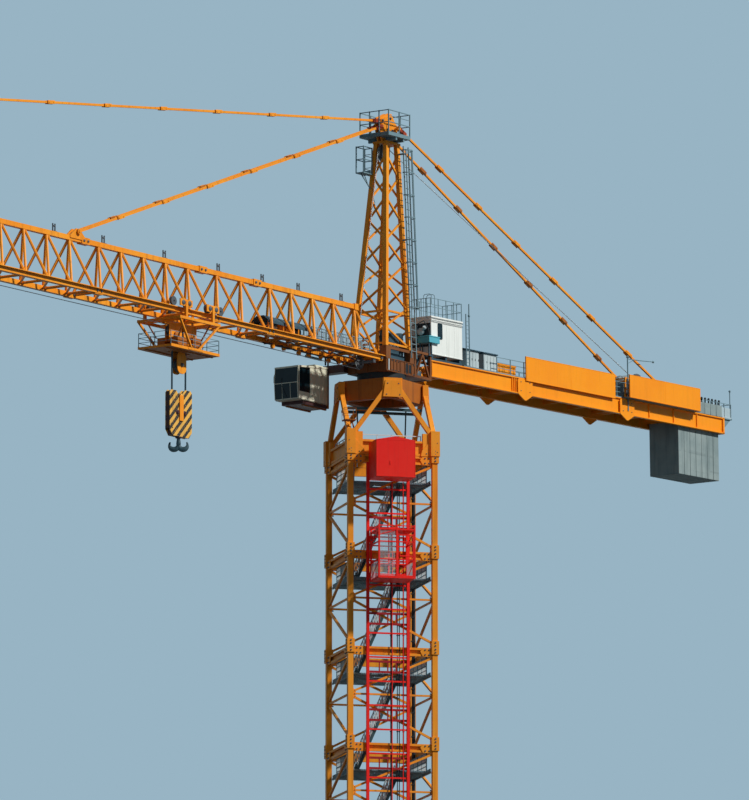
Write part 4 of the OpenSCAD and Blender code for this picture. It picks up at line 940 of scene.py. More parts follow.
@dataclass
class MastStairs:
    """Flights of the mast with grated treads, stringers and handrails with close bars."""

    side: float = 70.0
    half: float = 29.0
    low_y: float = -154.0
    high_y: float = 62.0
    first: float = 393.0
    step: float = 480.0

    def build(self) -> None:
        """Makes all flights."""
        steps, rails, bars = sketches(3, MAST)
        run = self.high_y - self.low_y
        for i in range(6):
            z0 = self.first + self.step * (i - 1) + 0.3 if i else 0.3
            z1 = self.first + self.step * i
            rise = z1 - z0
            for x in (self.side - self.half, self.side + self.half):
                steps.bar((x, self.low_y + 5, z0 + 8), (x, self.high_y - 4, z1 - 9), 3.6, 15)
                for high in (46, 84):
                    rails.bar((x, self.low_y + 4, z0 + high),
                              (x, self.high_y - 20, z1 - 40 + high * 0.9), 4.6)
                for t in (0.04, 0.36, 0.68, 0.94):
                    z = z0 + rise * t
                    rails.post(x, self.low_y + run * t, 1.8, z, z + 84 - 12 * t)
                for t in (n / 27 for n in range(1, 26)):
                    z = z0 + rise * t
                    bars.post(x, self.low_y + run * t, 1.5, z + 14, z + 80 - 12 * t)
            x0, x1 = self.side - self.half, self.side + self.half
            count = round(rise / 29)
            for k in range(1, count):
                y, z = self.low_y + run * k / count, z0 + rise * k / count
                for n in range(5):
                    steps.box(x0, x1, y - 8 + n * 3.4, y - 6.6 + n * 3.4, z - 2, z + 1)
                steps.box(x0 - 0.4, x1 + 0.4, y - 9, y - 8, z - 5, z + 1.4)
        piece = steps.done("stair_flights", Finishes.teal, Slot.GREY, body=Body.MAST)
        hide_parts("mast_stairs")
        rails.done("stair_handrails", Finishes.wan, Slot.GREY, body=Body.MAST)
        bars.done("stair_rail_bars", Finishes.wan, Slot.GREY, body=Body.MAST)


@dataclass
class LiftDetail:
    """Cage panels, door and rollers, the rails' brackets and the seams of the housing above."""

    offset: float = -27.0
    cage_x: float = 328.3
    floor: float = 2280.0
    front: float = 80.0
    side: float = 91.0
    house_x: float = 238.6
    house_z: float = 2790.0

    def build(self) -> None:
        """Makes the cage's and the housing's details."""
        self.mesh()
        self.cage()
        self.brackets()
        self.housing()

    def mesh(self) -> None:
        """Adds the cage's mesh panels."""
        mesh = Sketch(MAST @ Matrix.Translation((self.cage_x, self.offset, self.floor)))
        front, side = self.front, self.side
        for n in range(12):
            y = 6 - side + n * 6.6
            mesh.box(front - 1, front + 0.4, y - 0.7, y + 0.7, 12, 238)
        for n in range(30):
            z = 14 + n * 7.7
            mesh.box(front - 1, front + 0.4, 3 - side, -4, z - 0.6, z + 0.6)
        for n in range(21):
            mesh.both.post(6 - front + n * 7.6, side, 0.6, 12, 88)
        mesh.done("lift_mesh", Finishes.pale, Slot.LIFT, body=Body.LIFT)

    def cage(self) -> None:
        """Adds the cage's bars, its door with the handle, sloping braces and guide rollers."""
        bars, rollers = sketches(2, MAST @ Matrix.Translation((self.cage_x, self.offset, self.floor)))
        front, side = self.front, self.side
        for y in (6, side - 8):
            bars.box(front - 3, front + 3, y - 3, y + 3, 10, 222)
        for z in (12, 112, 216):
            bars.box(front - 3, front + 3, 6, side - 8, z - 3, z + 3)
        bars.bar((front, 8, 14), (front, side - 10, 110), 4)
        bars.bar((front, 2 - side, 216), (front, -6, 240), 4)
        bars.box(front + 2, front + 6, 12, 16, 108, 134)
        for z0, z1 in ((14, 88), (182, 240)):
            bars.both.bar((-front, side, z0), (front, side, z1), 4)
        bars.box(-front - 1, 3 - front, -side, side, 0, 46)
        bars.box(-30, 24, -26, 26, 242, 262)
        for z in (26, 210):
            rollers.both.turned([(7, -3), (8, -2), (8, 2), (7, 3)], (-front - 1.6, 90, z), ACROSS, 16)
        for y in (-12, 12):
            rollers.tube([(-10, y, 262), (-10, y, 266), (0, 0, 267.5)], 1.6, 6)
        bars.done("lift_cage_frame", Finishes.lift, Slot.LIFT, 0.5, Body.LIFT)
        rollers.done("lift_rollers", Finishes.dark, Slot.LIFT, body=Body.LIFT)

    def brackets(self) -> None:
        """Adds the brackets that hold the rails to the mast, and the cables beside them."""
        brackets, cables = sketches(2, MAST)
        y0, y1 = self.offset - 96, self.offset + 96
        for z in range(150, 2791, 240):
            for low in (z, z + 52):
                if low < self.house_z:
                    brackets.box(225, 231, y0, y1, low, low + 11)
            if z + 60 < self.house_z:
                for y in (self.offset - 43, self.offset, self.offset + 43):
                    brackets.box(226, 230, y - 3, y + 3, z + 8, z + 56)
        for y, radius in ((-8, 4.2), (24, 2.4), (34, 2.4), (55, 3.2)):
            cables.tube([(220, y, 60), (220, y, 2780)], radius, 8)
            for z in range(100, 2780, 240):
                cables.box(214, 226, y - radius - 1, y + radius + 1, z, z + 4)
        brackets.done("lift_rail_brackets", Finishes.crimson, Slot.LIFT, body=Body.MAST)
        cables.done("lift_cables", Finishes.black, Slot.DARK, body=Body.MAST)

    def housing(self) -> None:
        """Adds the seams and the latch of the housing at the top of the lift."""
        seams = Sketch(MAST @ Matrix.Translation((self.house_x, self.offset, self.house_z)))
        for z in (1, 183):
            seams.box(-0.1, 150.5, -100.5, 100.5, z, z + 2.4)
        for y in (-99, 97):
            seams.box(149.8, 150.6, y, y + 2, 3, 184)
        seams.box(149.8, 152, -30, -26, 60, 80)
        seams.done("lift_housing_seams", Finishes.lift, Slot.LIFT, 0.4, Body.MAST)


@dataclass
class HeadBolts:
    """Bolts and doubling plates of the mast head, the thin ties and rails behind it, and its landing."""

    top: float = MAST_TOP
    corner: float = 224.0
    landing_z: float = 3090.0

    def build(self) -> None:
        """Makes the plates, bolts, rails, ties and the landing."""
        plates, bolts, rails = sketches(3)
        ties = Sketch(MAST)
        top = self.top
        for k in range(4):
            plates.placing = bolts.placing = rails.placing = MAST @ Matrix.Rotation(math.pi / 2 * k, 4, "Z")
            plates.both.plate([(236, -2), (236, 84), (206, 92), (150, 30), (142, -2)], (228.0, 0, top), 2.4,
                              ACROSS)
            bolts.both.bolts([238], [226], (top + 20, top + 66), ALONG, 3.2)
            bolts.both.bolts([229.2], [204], (top + 20, top + 66), ALONG, 3.2)
            bolts.both.bolts([229.2], [172], [top + 12], ALONG, 3.2)
            plates.plate([(-52, 292), (52, 292), (40, 376), (-40, 376)], (232, 0, top), 3, ACROSS)
            for y, z in ((34, 304), (28, 360)):
                bolts.both.bolts([233.4], [y], [top + z], ALONG, 3.2)
            for z in (top + 60, top + 100):
                rails.box(196, 200, -150, 150, z, z + 4)
            for y in range(-150, 151, 75):
                rails.box(196, 200, y - 2, y + 2, top + 1, top + 104)
        for x in (-60, 60):
            ties.box(x - 9, x + 9, -190, 190, top + 250, top + 262)
        ties.bar((-120, 150, top + 30), (60, 110, top + 255), 7)
        ties.bar((120, -150, top + 30), (-60, -110, top + 255), 7)
        plates.done("mast_head_plates", Finishes.crane, Slot.CRANE, 0.6, Body.MAST)
        bolts.done("mast_head_bolts", Finishes.dark, Slot.DARK, body=Body.MAST)
        rails.done("mast_head_rails", Finishes.wan, Slot.GREY, body=Body.MAST)
        self.landing()
        ties.done("mast_head_ties", Finishes.teal, Slot.CRANE, body=Body.MAST)

    def landing(self) -> None:
        """Adds the small landing at the near corner, with slender rails, in place of the plain one."""
        landing = Sketch(MAST)
        z, x0, x1 = self.landing_z, self.corner - 30, self.corner + 30
        landing.box(x0, x1, -x1, -x0, z, z + 3)
        for y in range(5):
            landing.box(x0, x1, 3 - x1 + y * 13, 6 - x1 + y * 13, z - 3, z)
        corners = [(x0 + 1, 1 - x1), (x1 - 1, 1 - x1), (x1 - 1, -x0 - 1), (x0 + 1, -x0 - 1)]
        landing.railing(corners, (1,), 0.9, (z, z + 60), (z + 30, z + 59), 1.5)
        landing.bar((204, -204, z + 1), (188, -188, z - 40), 5)
        piece = landing.done("corner_landing", Finishes.crane_shade, Slot.GREY, body=Body.MAST)
        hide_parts("top_platform")


@dataclass
class TurntableDetail:
    """Panels, hatch frames and machinery of the turntable and of the frame behind it."""

    side: float = 118.0
    low: float = -65.0
    motors_x: tuple[float, float] = (-76.0, 62.0)
    motors_y: float = 54.0
    gear: tuple[float, float, float] = (-198.0, 67.0, -57.0)

    def build(self) -> None:
        """Makes the details of both sides."""
        ribs, dark, gold, pale, bolts = sketches(5, UPPER)
        y, low = self.side, self.low
        for x in (-118, -90, -62, -34, 6, 34, 62, 90, 118):
            ribs.both.box(x - 2, x + 2, y, y + 3.4, low + 2, -2)
        for z0, z1 in ((-3, 0.6), (low - 0.2, low + 4)):
            ribs.both.box(-125, 125, y, y + 3, z0, z1)
        for at in (-70, 0, 70):
            ribs.box(124.8, 129, at - 3, at + 3, low + 2, -2)
        dark.both.box(-86, -40, y, y + 1.2, low + 12, -12)
        # pale strips: a painted highlight on the turntable's sides
        pale.both.box(104, 112, y, y + 4.6, low + 4, -4)
        bolts.both.bolts((-110, -50, 20, 48, 76, 104), [y + 1.0], (low + 8, -9), ACROSS, 3.4)
        for x, at in circle(24, 112, start=0.5):
            bolts.bolts([x], [at], [0.0], RISE, 4.2)
        self.rear(gold, dark)
        ribs.done("turntable_ribs", Finishes.umber_shade, Slot.CRANE, 0.5)
        dark.done("turntable_hatches_and_shade", Finishes.black, Slot.DARK)
        gold.done("rear_frame_gear", Finishes.crane, Slot.CRANE, 0.4)
        pale.done("turntable_highlight_strips", Finishes.cabinet, Slot.CRANE)
        bolts.done("turntable_bolts", Finishes.dark, Slot.DARK)
        self.motors()

    def rear(self, gold: Sketch, dark: Sketch) -> None:
        """Adds pipes and valves between the side frames behind the turntable, over a block of painted shade.

        Args:
            gold: takes the valves and the bright pipes.
            dark: takes the dark pipes and a black block that paints the shade inside the frame.
        """
        for n, (x, z) in enumerate(((-150, -40), (-172, -22), (-196, -44), (-222, -26), (-246, -38))):
            gold.both.turned([(12, -14), (15, -10), (15, 10), (10, 14)], (x, 62 + 6 * (n % 2), z),
                             RISE if n % 2 else ALONG, 14)
        # black block: painted shade inside the rear frame
        dark.both.box(-262, -136, 6, 34, -48, -34)
        for sketch, radius, path in (
            (gold, 5.0, ((-140, 84, -50), (-170, 88, -12), (-205, 82, -30), (-236, 88, 4), (-262, 84, -8))),
            (gold, 4.0, ((-138, 70, 10), (-180, 76, 28), (-232, 70, 22), (-262, 74, 40))),
            (dark, 4.0, ((-132, 48, 20), (-168, 40, -8), (-214, 50, -16), (-262, 44, 12))),
        ):
            for s in (-1, 1):
                sketch.tube([(x, s * y, z) for x, y, z in path], radius)

    def motors(self) -> None:
        """Adds the slewing motors' fans, flanges and terminal boxes, and their cables."""
        slate, dark, pale = sketches(3, UPPER)
        y = self.motors_y
        for x in self.motors_x:
            slate.turned([(23, 1), (24, 3), (24, 19), (23, 22), (18.6, 24), (18.6, 58), (21, 60), (21, 66),
                          (18.4, 68), (18.4, 128), (20, 131), (20, 149), (15, 154), (4, 155)], (x, y, 0.0))
            for (ax, ay), (bx, by) in zip(circle(14, 18, x, y), circle(14, 21, x, y)):
                slate.box(ax - 1, bx + 1, ay - 1, by + 1, 72, 126)
            slate.box(x - 10, x + 10, 72, 84, 84, 108)
            for ax, ay in circle(8, 21, x, y):
                dark.bolts([ax], [ay], [22], RISE, 3)
            dark.tube([(x, 84, 96), (x + 8, 90, 80), (x + 14, 86, 40), (x + 6, 78, 6)], 2.4)
        for z in (10, 52, 94, 134):
            slate.box(-41, 45, 33, 79, z, z + 3)
        for x in (-28, 2, 30):
            pale.box(x - 9, x + 9, 78.4, 80.4, 58, 88)
        slate.box(-96, 96, 84, 87, 2, 34)
        slate.box(-40, 44, 34, 78, 0.5, 142)
        gx, gy, gz = self.gear
        slate.turned([(29, 0), (31, 2), (31, 30), (28, 34), (19, 36), (19, 60), (24, 62), (24, 92), (14, 97)],
                     self.gear)
        for ax, ay in circle(10, 26, gx, gy):
            dark.bolts([ax], [ay], [gz + 33], RISE, 3)
        piece = slate.done("slewing_motors", Finishes.slate, Slot.DARK, 0.5)
        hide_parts("slewing_drives")
        dark.done("slewing_cables", Finishes.black, Slot.DARK)
        pale.done("switch_covers", Finishes.cabinet, Slot.DARK, 0.5)


@dataclass
class HouseDetail:
    """The machine house's window, door, front with painted shade and machinery, roof rail, seams and corner box."""

    x0: float = 6.0
    x1: float = 278.0
    near: float = -113.0
    far: float = 10.0
    floor: float = 73.0
    top: float = 268.0

    def build(self) -> None:
        """Makes the details in the counter-jib's axes, where the near side is -y."""
        self.walls()
        self.windows()
        self.roof()
        self.front()
        self.corner()
        self.pole()

    def walls(self) -> None:
        """Adds the body under its double roof and the skids below it."""
        shell, base = sketches(2, COUNTER)
        x0, x1, far, top = self.x0, self.x1, self.far, self.top
        shell.box(x0, x1, self.near, far, self.floor, top - 3)
        shell.box(x0 - 3, x1 + 3, -116, far + 3, top - 22, top - 17)
        shell.box(x0 - 4, x1 + 4, -117, far + 4, top - 9, top)
        shell.box(x0 + 20, x1 - 20, -96, far - 14, top - 1, top + 3)
        for y in (-105, 2):
            base.box(x0, x1, y - 5, y + 5, 42.4, 54)
        for x in (x0 + 14, x0 + 136, x0 + 258):
            base.box(x - 7, x + 7, -108, far - 3, 50, self.floor + 0.5)
        piece = shell.done("house_shell", Finishes.house, Slot.HOUSE, 1.2)
        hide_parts("machine_house")
        base.done("house_base", Finishes.slate, Slot.DARK, 0.5)

    def windows(self) -> None:
        """Adds the rounded windows, the door's pane and the walls' seams."""
        glass, seams = sketches(2, COUNTER)
        x0, low = self.x0, self.floor
        for y, s in ((self.near, -1), (self.far, 1)):
            glass.plate(rounded(x0 + 55, 155, 42, 82, 9), (0, y + s * 0.6, 0), 1.4)
            for x in (x0 + 134, x0 + 204):
                seams.box(x, x + 1.6, y, y + s * 0.7, low + 2, low + 170)
            seams.box(x0, self.x1, y, y + s * 1.4, low, low + 5)
        glass.plate(rounded(-92, low + 8, 70, 150, 6), (self.x1 + 0.5, 0, 0), 1.0, ACROSS)
        seams.done("house_seams", Finishes.house, Slot.HOUSE, 0.3)
        glass.done("house_windows", Finishes.glass, Slot.GLASS)

    def roof(self) -> None:
        """Adds the roof's railing, ladder hoops and the gutter's shadow line."""
        rail, edge = sketches(2, COUNTER)
        top, x0, x1, y = self.top + 1, self.x0 + 2, self.x1 + 2, self.near + 4
        rail.railing([(x0, y), (x1, y), (x1, self.far - 4), (x0, self.far - 4)], (4,), 1.6,
                     (top - 4, top + 92), (top + 46, top + 90), 2.6)
        for x in (x0 + 8, x0 + 36):
            rail.tube([(x, y, top + 60), (x, y, top + 104), (x, y + 10, top + 112), (x, y + 40, top + 112),
                       (x, y + 48, top + 104), (x, y + 48, top - 3)], 1.6, 6)
        # painted shadow lines under the roof's edges
        for z in (self.floor + 166, self.floor + 180):
            for y in (-116.5, self.far + 3.5):
                edge.box(self.x0 - 4.5, self.x0 + 276.5, y - 0.6, y + 0.6, z, z + 1.6)
        rail.done("house_roof_rail", Finishes.grey, Slot.GREY)
        edge.done("house_roof_shadow_lines", Finishes.black, Slot.DARK)

    def front(self) -> None:
        """Adds the front: a black sheet of painted shade for its open inside, with machinery and cables before it."""
        dark, gear = sketches(2, COUNTER)
        x, low = self.x0, self.floor
        # black sheet on the front wall: painted shade of the open inside
        dark.box(x - 1.2, x + 0.4, -106, 4, low + 40, low + 160)
        for y, z, r in ((-82, 80, 14), (-54, 118, 18), (-20, 84, 13), (-76, 136, 10)):
            gear.turned([(r, 0), (r + 1, 4), (r + 1, 12), (r - 4, 16), (r * 0.4, 20), (2, 20.5)],
                        (x - 1, y, low + z), (-1, 0, 0), 18)
        gear.box(x - 18, x - 1, -104, 4, low + 52, low + 60)
        gear.box(x - 14, x - 1, -30, 2, low + 102, low + 152)
        dark.tube([(x - 16, -46, low + 130), (x - 34, -40, low + 150), (x - 30, -88, low + 168),
                   (x - 8, -100, low + 130), (x - 6, -108, low + 86)], 2.6)
        dark.tube([(x - 10, -12, low + 96), (x - 30, 4, low + 60), (x - 20, 6, low + 16), (x - 4, 8, 52)],
                  2.6)
        dark.done("house_front_shade_and_cables", Finishes.black, Slot.DARK)
        gear.done("house_front_gear", Finishes.cabinet, Slot.DARK, 0.5)

    def corner(self) -> None:
        """Adds the turquoise box on its legs at the near corner."""
        box, legs = sketches(2, COUNTER)
        x = self.x0
        box.box(x - 38, x + 54, -127, -54, 128, 160)
        box.box(x - 40, x + 56, -129, -52, 157, 163)
        for at in (x - 30, x - 8):
            for y in (-118, -64):
                legs.post(at, y, 2.5, 64, 129)
        legs.box(x - 34, x - 4, -122, -60, 60, 66)
        box.done("corner_box", Finishes.turquoise, Slot.CABINET, 1.2)
        legs.done("corner_box_legs", Finishes.slate, Slot.DARK)

    def pole(self) -> None:
        """Adds the double pole behind the house with its rungs."""
        pole = Sketch(COUNTER)
        x, y = 316.0, -111.0
        for at, high in ((x, 313), (x + 28, 367)):
            pole.tube([(at, y, 47), (at, y, high)], 2.9)
        for z in range(66, 277, 21):
            pole.bar((x, y, z), (x + 28, y, z), 2.2)
        pole.turned([(3, 0), (6, 3), (6, 10), (3, 14)], (x + 28, y, 300), RISE, 12)
        pole.box(x - 2, x + 29, y - 5, y + 8, 47, 51)
        pole.done("house_pole", Finishes.grey, Slot.GREY)


@dataclass
class Cabinets:
    """The control cabinets with domed roofs and the orange box behind them, in place of the plain ones."""

    x0: float = 363.0
    step: float = 160.0
    length: float = 114.0
    half: float = 75.0
    base: float = 47.6

    def build(self) -> None:
        """Makes the cabinets, their roofs and the box."""
        body, roof, box, dark = sketches(4, COUNTER)
        y, z = self.half, self.base
        section = [(-y - 7, z + 92), (-y - 7, z + 97), (-52, z + 105), (-20, z + 109.5), (20, z + 109.5),
                   (52, z + 105), (y + 7, z + 97), (y + 7, z + 92)]
        for x in (self.x0, self.x0 + self.step):
            body.box(x, x + self.length, -y, y, z, z + 95)
            for n in range(4):
                px = x + 3 + n * 28.4
                body.both.box(px, px + 25, y, y + 1.6, z + 8, z + 84)
                dark.both.box(px + 20, px + 22.4, y, y + 3, z + 44, z + 54)
            roof.loft([[(px, *point) for point in section] for px in (x - 6, x + self.length + 6)])
            for px in range(int(x) + 4, int(x + self.length), 13):
                roof.box(px, px + 4, -84, 84, z + 90, z + 98)
        # black block in the gap between the cabinets: painted shade
        dark.box(self.x0 + self.length + 4, self.x0 + self.step - 4, -72, 60, z, z + 84)
        box.box(646, 816, -70, 70, z, z + 52)
        box.box(644, 818, -72, 72, z + 51, z + 59)
        for x in (670, 712, 754, 796):
            box.box(x, x + 4, -72.6, 72.6, z + 2, z + 52)
        piece = body.done("cabinet_bodies", Finishes.cabinet, Slot.CABINET, 0.8)
        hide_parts("control_cabinets")
        roof.done("cabinet_roofs", Finishes.slate, Slot.CABINET, 0.6)
        box.done("resistor_box", Finishes.crane, Slot.CRANE, 0.8)
        dark.done("cabinet_handles_and_gap_shade", Finishes.black, Slot.DARK)


@dataclass
class Girders:
    """The counter-jib's I-girders with pointed joint plates, few ribs, cross beams and the ties' lugs."""

    inner: float = 854.0
    middle: float = 935.0
    outer: float = 902.0
    gauge: float = 105.0
    top: float = 42.0
    lug_x: float = 2228.0

    def build(self) -> None:
        """Makes the three lengths of the girders."""
        first, second = self.inner, self.inner + self.middle
        last = second + self.outer
        self.length("girders_inner", "counter_girders_inner", 0, first - 0.3,
                    (6, 720, 738, 752), (first - 24,), (20, 224, 427, 630, 834))
        self.length("girders_middle", "counter_girders_middle", first, second - 0.3, (),
                    (second - 24,), (874, 1098, 1321, 1545, 1769))
        self.length("girders_outer", "counter_girders_outer", second, last, (1979, 2209, 2429),
                    (), (1819, 2039, 2269))

    def length(self, name: str, node: str, x0: float, x1: float, ribs: tuple[float, ...],
               plates: tuple[float, ...], ties: tuple[float, ...]) -> None:
        """Adds one length of both girders.

        Args:
            name: the piece's name.
            node: the model's piece that it replaces.
            x0: where it starts.
            x1: where it ends.
            ribs: places of the upright stiffeners.
            plates: middles of the pointed joint plates.
            ties: places of the cross beams.
        """
        girders = Sketch(COUNTER)
        t, y = self.top, self.gauge
        for z in (-t, t - 6):
            girders.both.box(x0, x1, y - 11, y + 11, z, z + 6)
        girders.both.box(x0, x1, y - 2.5, y + 2.5, 5 - t, t - 5)
        for x in ribs:
            girders.both.box(x, x + 5, y - 9, y + 9, 5.5 - t, t - 5.5)
        for x in plates:
            girders.both.plate([(-8, -t - 30), (8, -t - 30), (66, -t), (66, t - 14), (52, t - 7), 
                                (-52, t - 7), (-66, t - 14), (-66, -t)], (x, y + 11.5, 0), 5)
        for x in ties:
            girders.box(x - 7, x + 7, -y, y, -18, 16)
        if x1 > self.lug_x:
            girders.box(x1 - 14, x1, -116, 116, -44, 44)
            for side in (-8, 8):
                girders.both.plate([(-34, 40), (34, 40), (14, 101), (-14, 101)], (self.lug_x, y + side, 0), 5)
            girders.both.turned([(7, -12.5), (7, 12.5)], (self.lug_x, y, 89), ACROSS, 16)
        piece = girders.done(name, Finishes.board, Slot.CRANE, 0.6)
        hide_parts(node)


@dataclass
class CounterRails:
    """Railings of the counter-jib's deck and end, with thin rails and posts on foot plates."""

    side: float = 109.0
    deck_ends: tuple[float, float, float] = (290.0, 590.0, 2048.0)
    deck: float = 47.6
    tail: tuple[float, float] = (2507.0, 2757.4)
    tail_y: float = 111.0
    height: float = 78.0

    def build(self) -> None:
        """Makes the railings on both sides and round the end."""
        rails = Sketch(COUNTER)
        far_x, near_x, stop = self.deck_ends
        x0, x1 = self.tail
        y = self.tail_y
        for a, b, z, pitch in (
            ((far_x, self.side), (stop, self.side), self.deck, 120),
            ((near_x, -self.side), (stop, -self.side), self.deck, 120),
            ((x0, -y), (x1, -y), 42.3, 70), ((x1, -y), (x1, y), 42.3, 70), ((x1, y), (x0, y), 42.3, 70),
        ):
            count = round(math.dist(a, b) / pitch)
            for k in range(count + 1):
                px, py = a[0] + (b[0] - a[0]) * k / count, a[1] + (b[1] - a[1]) * k / count
                rails.post(px, py, 2, z, z + self.height)
                rails.box(px - 5, px + 5, py - 4, py + 4, z - 0.2, z + 2.4)
            for high in (0.3, 0.64, 0.985):
                rails.bar((*a, z + self.height * high), (*b, z + self.height * high), 2.8)
        piece = rails.done("counter_rails", Finishes.grey, Slot.GREY)
        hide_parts("counter_railings")


@dataclass
class CounterBits:
    """Pole with its arm, the frame before the winch, lifting lugs, kick plates and the end plate."""

    end: float = 2691.0
    deck: float = 47.6
    slabs: float = 2284.0
    pitch: float = 55.0
    drum_x: float = 1962.0
    drum_z: float = 138.3

    def build(self) -> None:
        """Makes the bits along the outer girders."""
        self.poles()
        self.winch()
        self.cast_slabs()
        self.end_plate()
        self.trims()

    def poles(self) -> None:
        """Adds the lamp pole with its arm near the outer board, and the one at the end."""
        pole = Sketch(COUNTER)
        for x, y, low, high, arm, radius in ((1771, -121, -23, 260, 240, 3.4),
                                             (self.end + 60, -112, 44, 190, 0, 2.6)):
            pole.tube([(x, y, low), (x, y, high)], radius)
            pole.turned([(3, -3), (6, 0), (6, 5), (2, 9)], (x + arm, y, high - 2), RISE, 12)
            if arm:
                for z in (-20, 22):
                    pole.box(x - 5, x + 5, y - 1, y + 6, z, z + 12)
                pole.tube([(x, y, high - 10), (x + arm * 0.5, y, high - 6), (x + arm, y, high + 2)], 2.2)
                pole.bar((x, y, high - 34), (x + 60, y, high - 10), 2)
                pole.turned([(3, -3), (7, 0), (7, 6), (2, 10)], (x, y, high - 3), RISE, 12)
        pole.done("lamp_poles", Finishes.grey, Slot.GREY)

    def winch(self) -> None:
        """Adds the hoist winch with its drum, rope layers, brake and golden frame."""
        gold, steel, rope = sketches(3, COUNTER)
        x, z = self.drum_x, self.drum_z
        for px in (1800, 1876):
            gold.both.post(px, 84, 4, self.deck, 158)
            gold.box(px - 3, px + 3, -84, 84, 152, 158)
        for low in (96, 154):
            gold.both.box(1796, 1880, 81, 87, low, low + 7)
        gold.both.bar((1802, 84, 52), (1874, 84, 98), 5)
        for px in range(1822, 1893, 14):
            steel.box(px, px + 4, -63, 3, 60, 132)
        steel.turned([(30, -2), (30, 6), (24, 10), (24, 40), (28, 44), (28, 60)], (1862, 76, 106), (0, -1, 0))
        for n in range(17):
            rope.turned([(56.4, -2.4), (58.6, -1.2), (59.2, 0), (58.6, 1.2), (56.4, 2.4)],
                        (x, -42 + n * 5.25, z), ACROSS, 40)
        for px, pz in circle(8, 44, x, z):
            steel.both.bolts([px], [53.5], [pz], ACROSS, 4)
        steel.box(1837, 2067, -85, 85, 47.8, 60)
        steel.turned([(55, -59), (55, 59)], (x, 0, z), ACROSS, 40)
        steel.both.turned([(60, -3), (62, -2), (62, 2), (60, 3)], (x, 52, z), ACROSS, 48)
        steel.both.plate([(-25, 0), (25, 0), (12, 90), (-12, 90)], (x, 72, 48), 10)
        steel.both.turned([(22, -12), (24, -10), (24, 10), (22, 12)], (x, 68, z), ACROSS, 24)
        steel.box(1817, 1907, -62, 2, 58, 128)
        gold.done("winch_frame", Finishes.crane, Slot.CRANE, 0.5)
        piece = steel.done("winch_machine", Finishes.dark, Slot.DARK, 0.4)
        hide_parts("hoist_winch")
        rope.done("winch_rope_layer", Finishes.rope, Slot.ROPE)

    def cast_slabs(self) -> None:
        """Adds the slabs with chamfered edges and their lifting lugs."""
        dark, slabs = sketches(2, COUNTER)
        for k in range(7):
            x = self.slabs + k * self.pitch
            slabs.box(x, x + 53, -91, 91, -292.5, 44)
            slabs.box(x, x + 53, -116, 116, 42.6, 104)
        piece = slabs.done("cast_slabs", Finishes.concrete, Slot.CONCRETE, 2.4)
        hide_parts("counterweights")
        for k in range(11):
            dark.both.turned([(5, -2), (5, 8), (3.4, 11), (6, 16), (6.4, 24), (4, 30)],
                             (self.slabs + 40 + k * 33.0, 106, 103), RISE, 10)
        dark.done("slab_lugs", Finishes.black, Slot.DARK)

    def end_plate(self) -> None:
        """Adds the pale edge plates of the end platform and its kick plates."""
        pale = Sketch(COUNTER)
        x = self.end
        pale.both.box(x - 22, x + 68, 111, 113, 43.4, 98)
        pale.both.box(x - 22, x + 70, 112, 115, 42.4, 50)
        pale.box(x + 66, x + 68, -112, 112, 43.4, 74)
        pale.done("end_platform_plates", Finishes.pale, Slot.GREY, 0.3)

    def trims(self) -> None:
        """Adds the bolts of the girders' joint plates, and the boards with their frames."""
        bolts, frames = sketches(2, COUNTER)
        bolts.both.bolts((790.0, 870.0, 1725.0, 1805.0), [119.2], (-26, 20), ACROSS, 3.0)
        for x0, x1, y, z0, z1, back in ((830, 1647, -125.5, 29, 155, -119.3),
                                        (1728, 2392, -162.5, 41, 160, -156.4)):
            for z in (z0, z1 - 3):
                frames.box(x0, x1, y - 0.5, y + 0.4, z, z + 3)
            for x in (x0, (x0 + x1) / 2, x1 - 3):
                frames.box(x, x + 3, y - 0.4, y + 0.4, z0, z1)
            frames.box(x0, x1, back - 6, back, z0, z1)
        for x in range(1759, 2372, 153):
            frames.box(x, x + 6, -157, -150, 42, 144)
        bolts.done("girder_bolts", Finishes.dark, Slot.DARK)
        piece = frames.done("edge_boards", Finishes.board, Slot.CRANE, 0.4)
        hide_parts("side_boards")


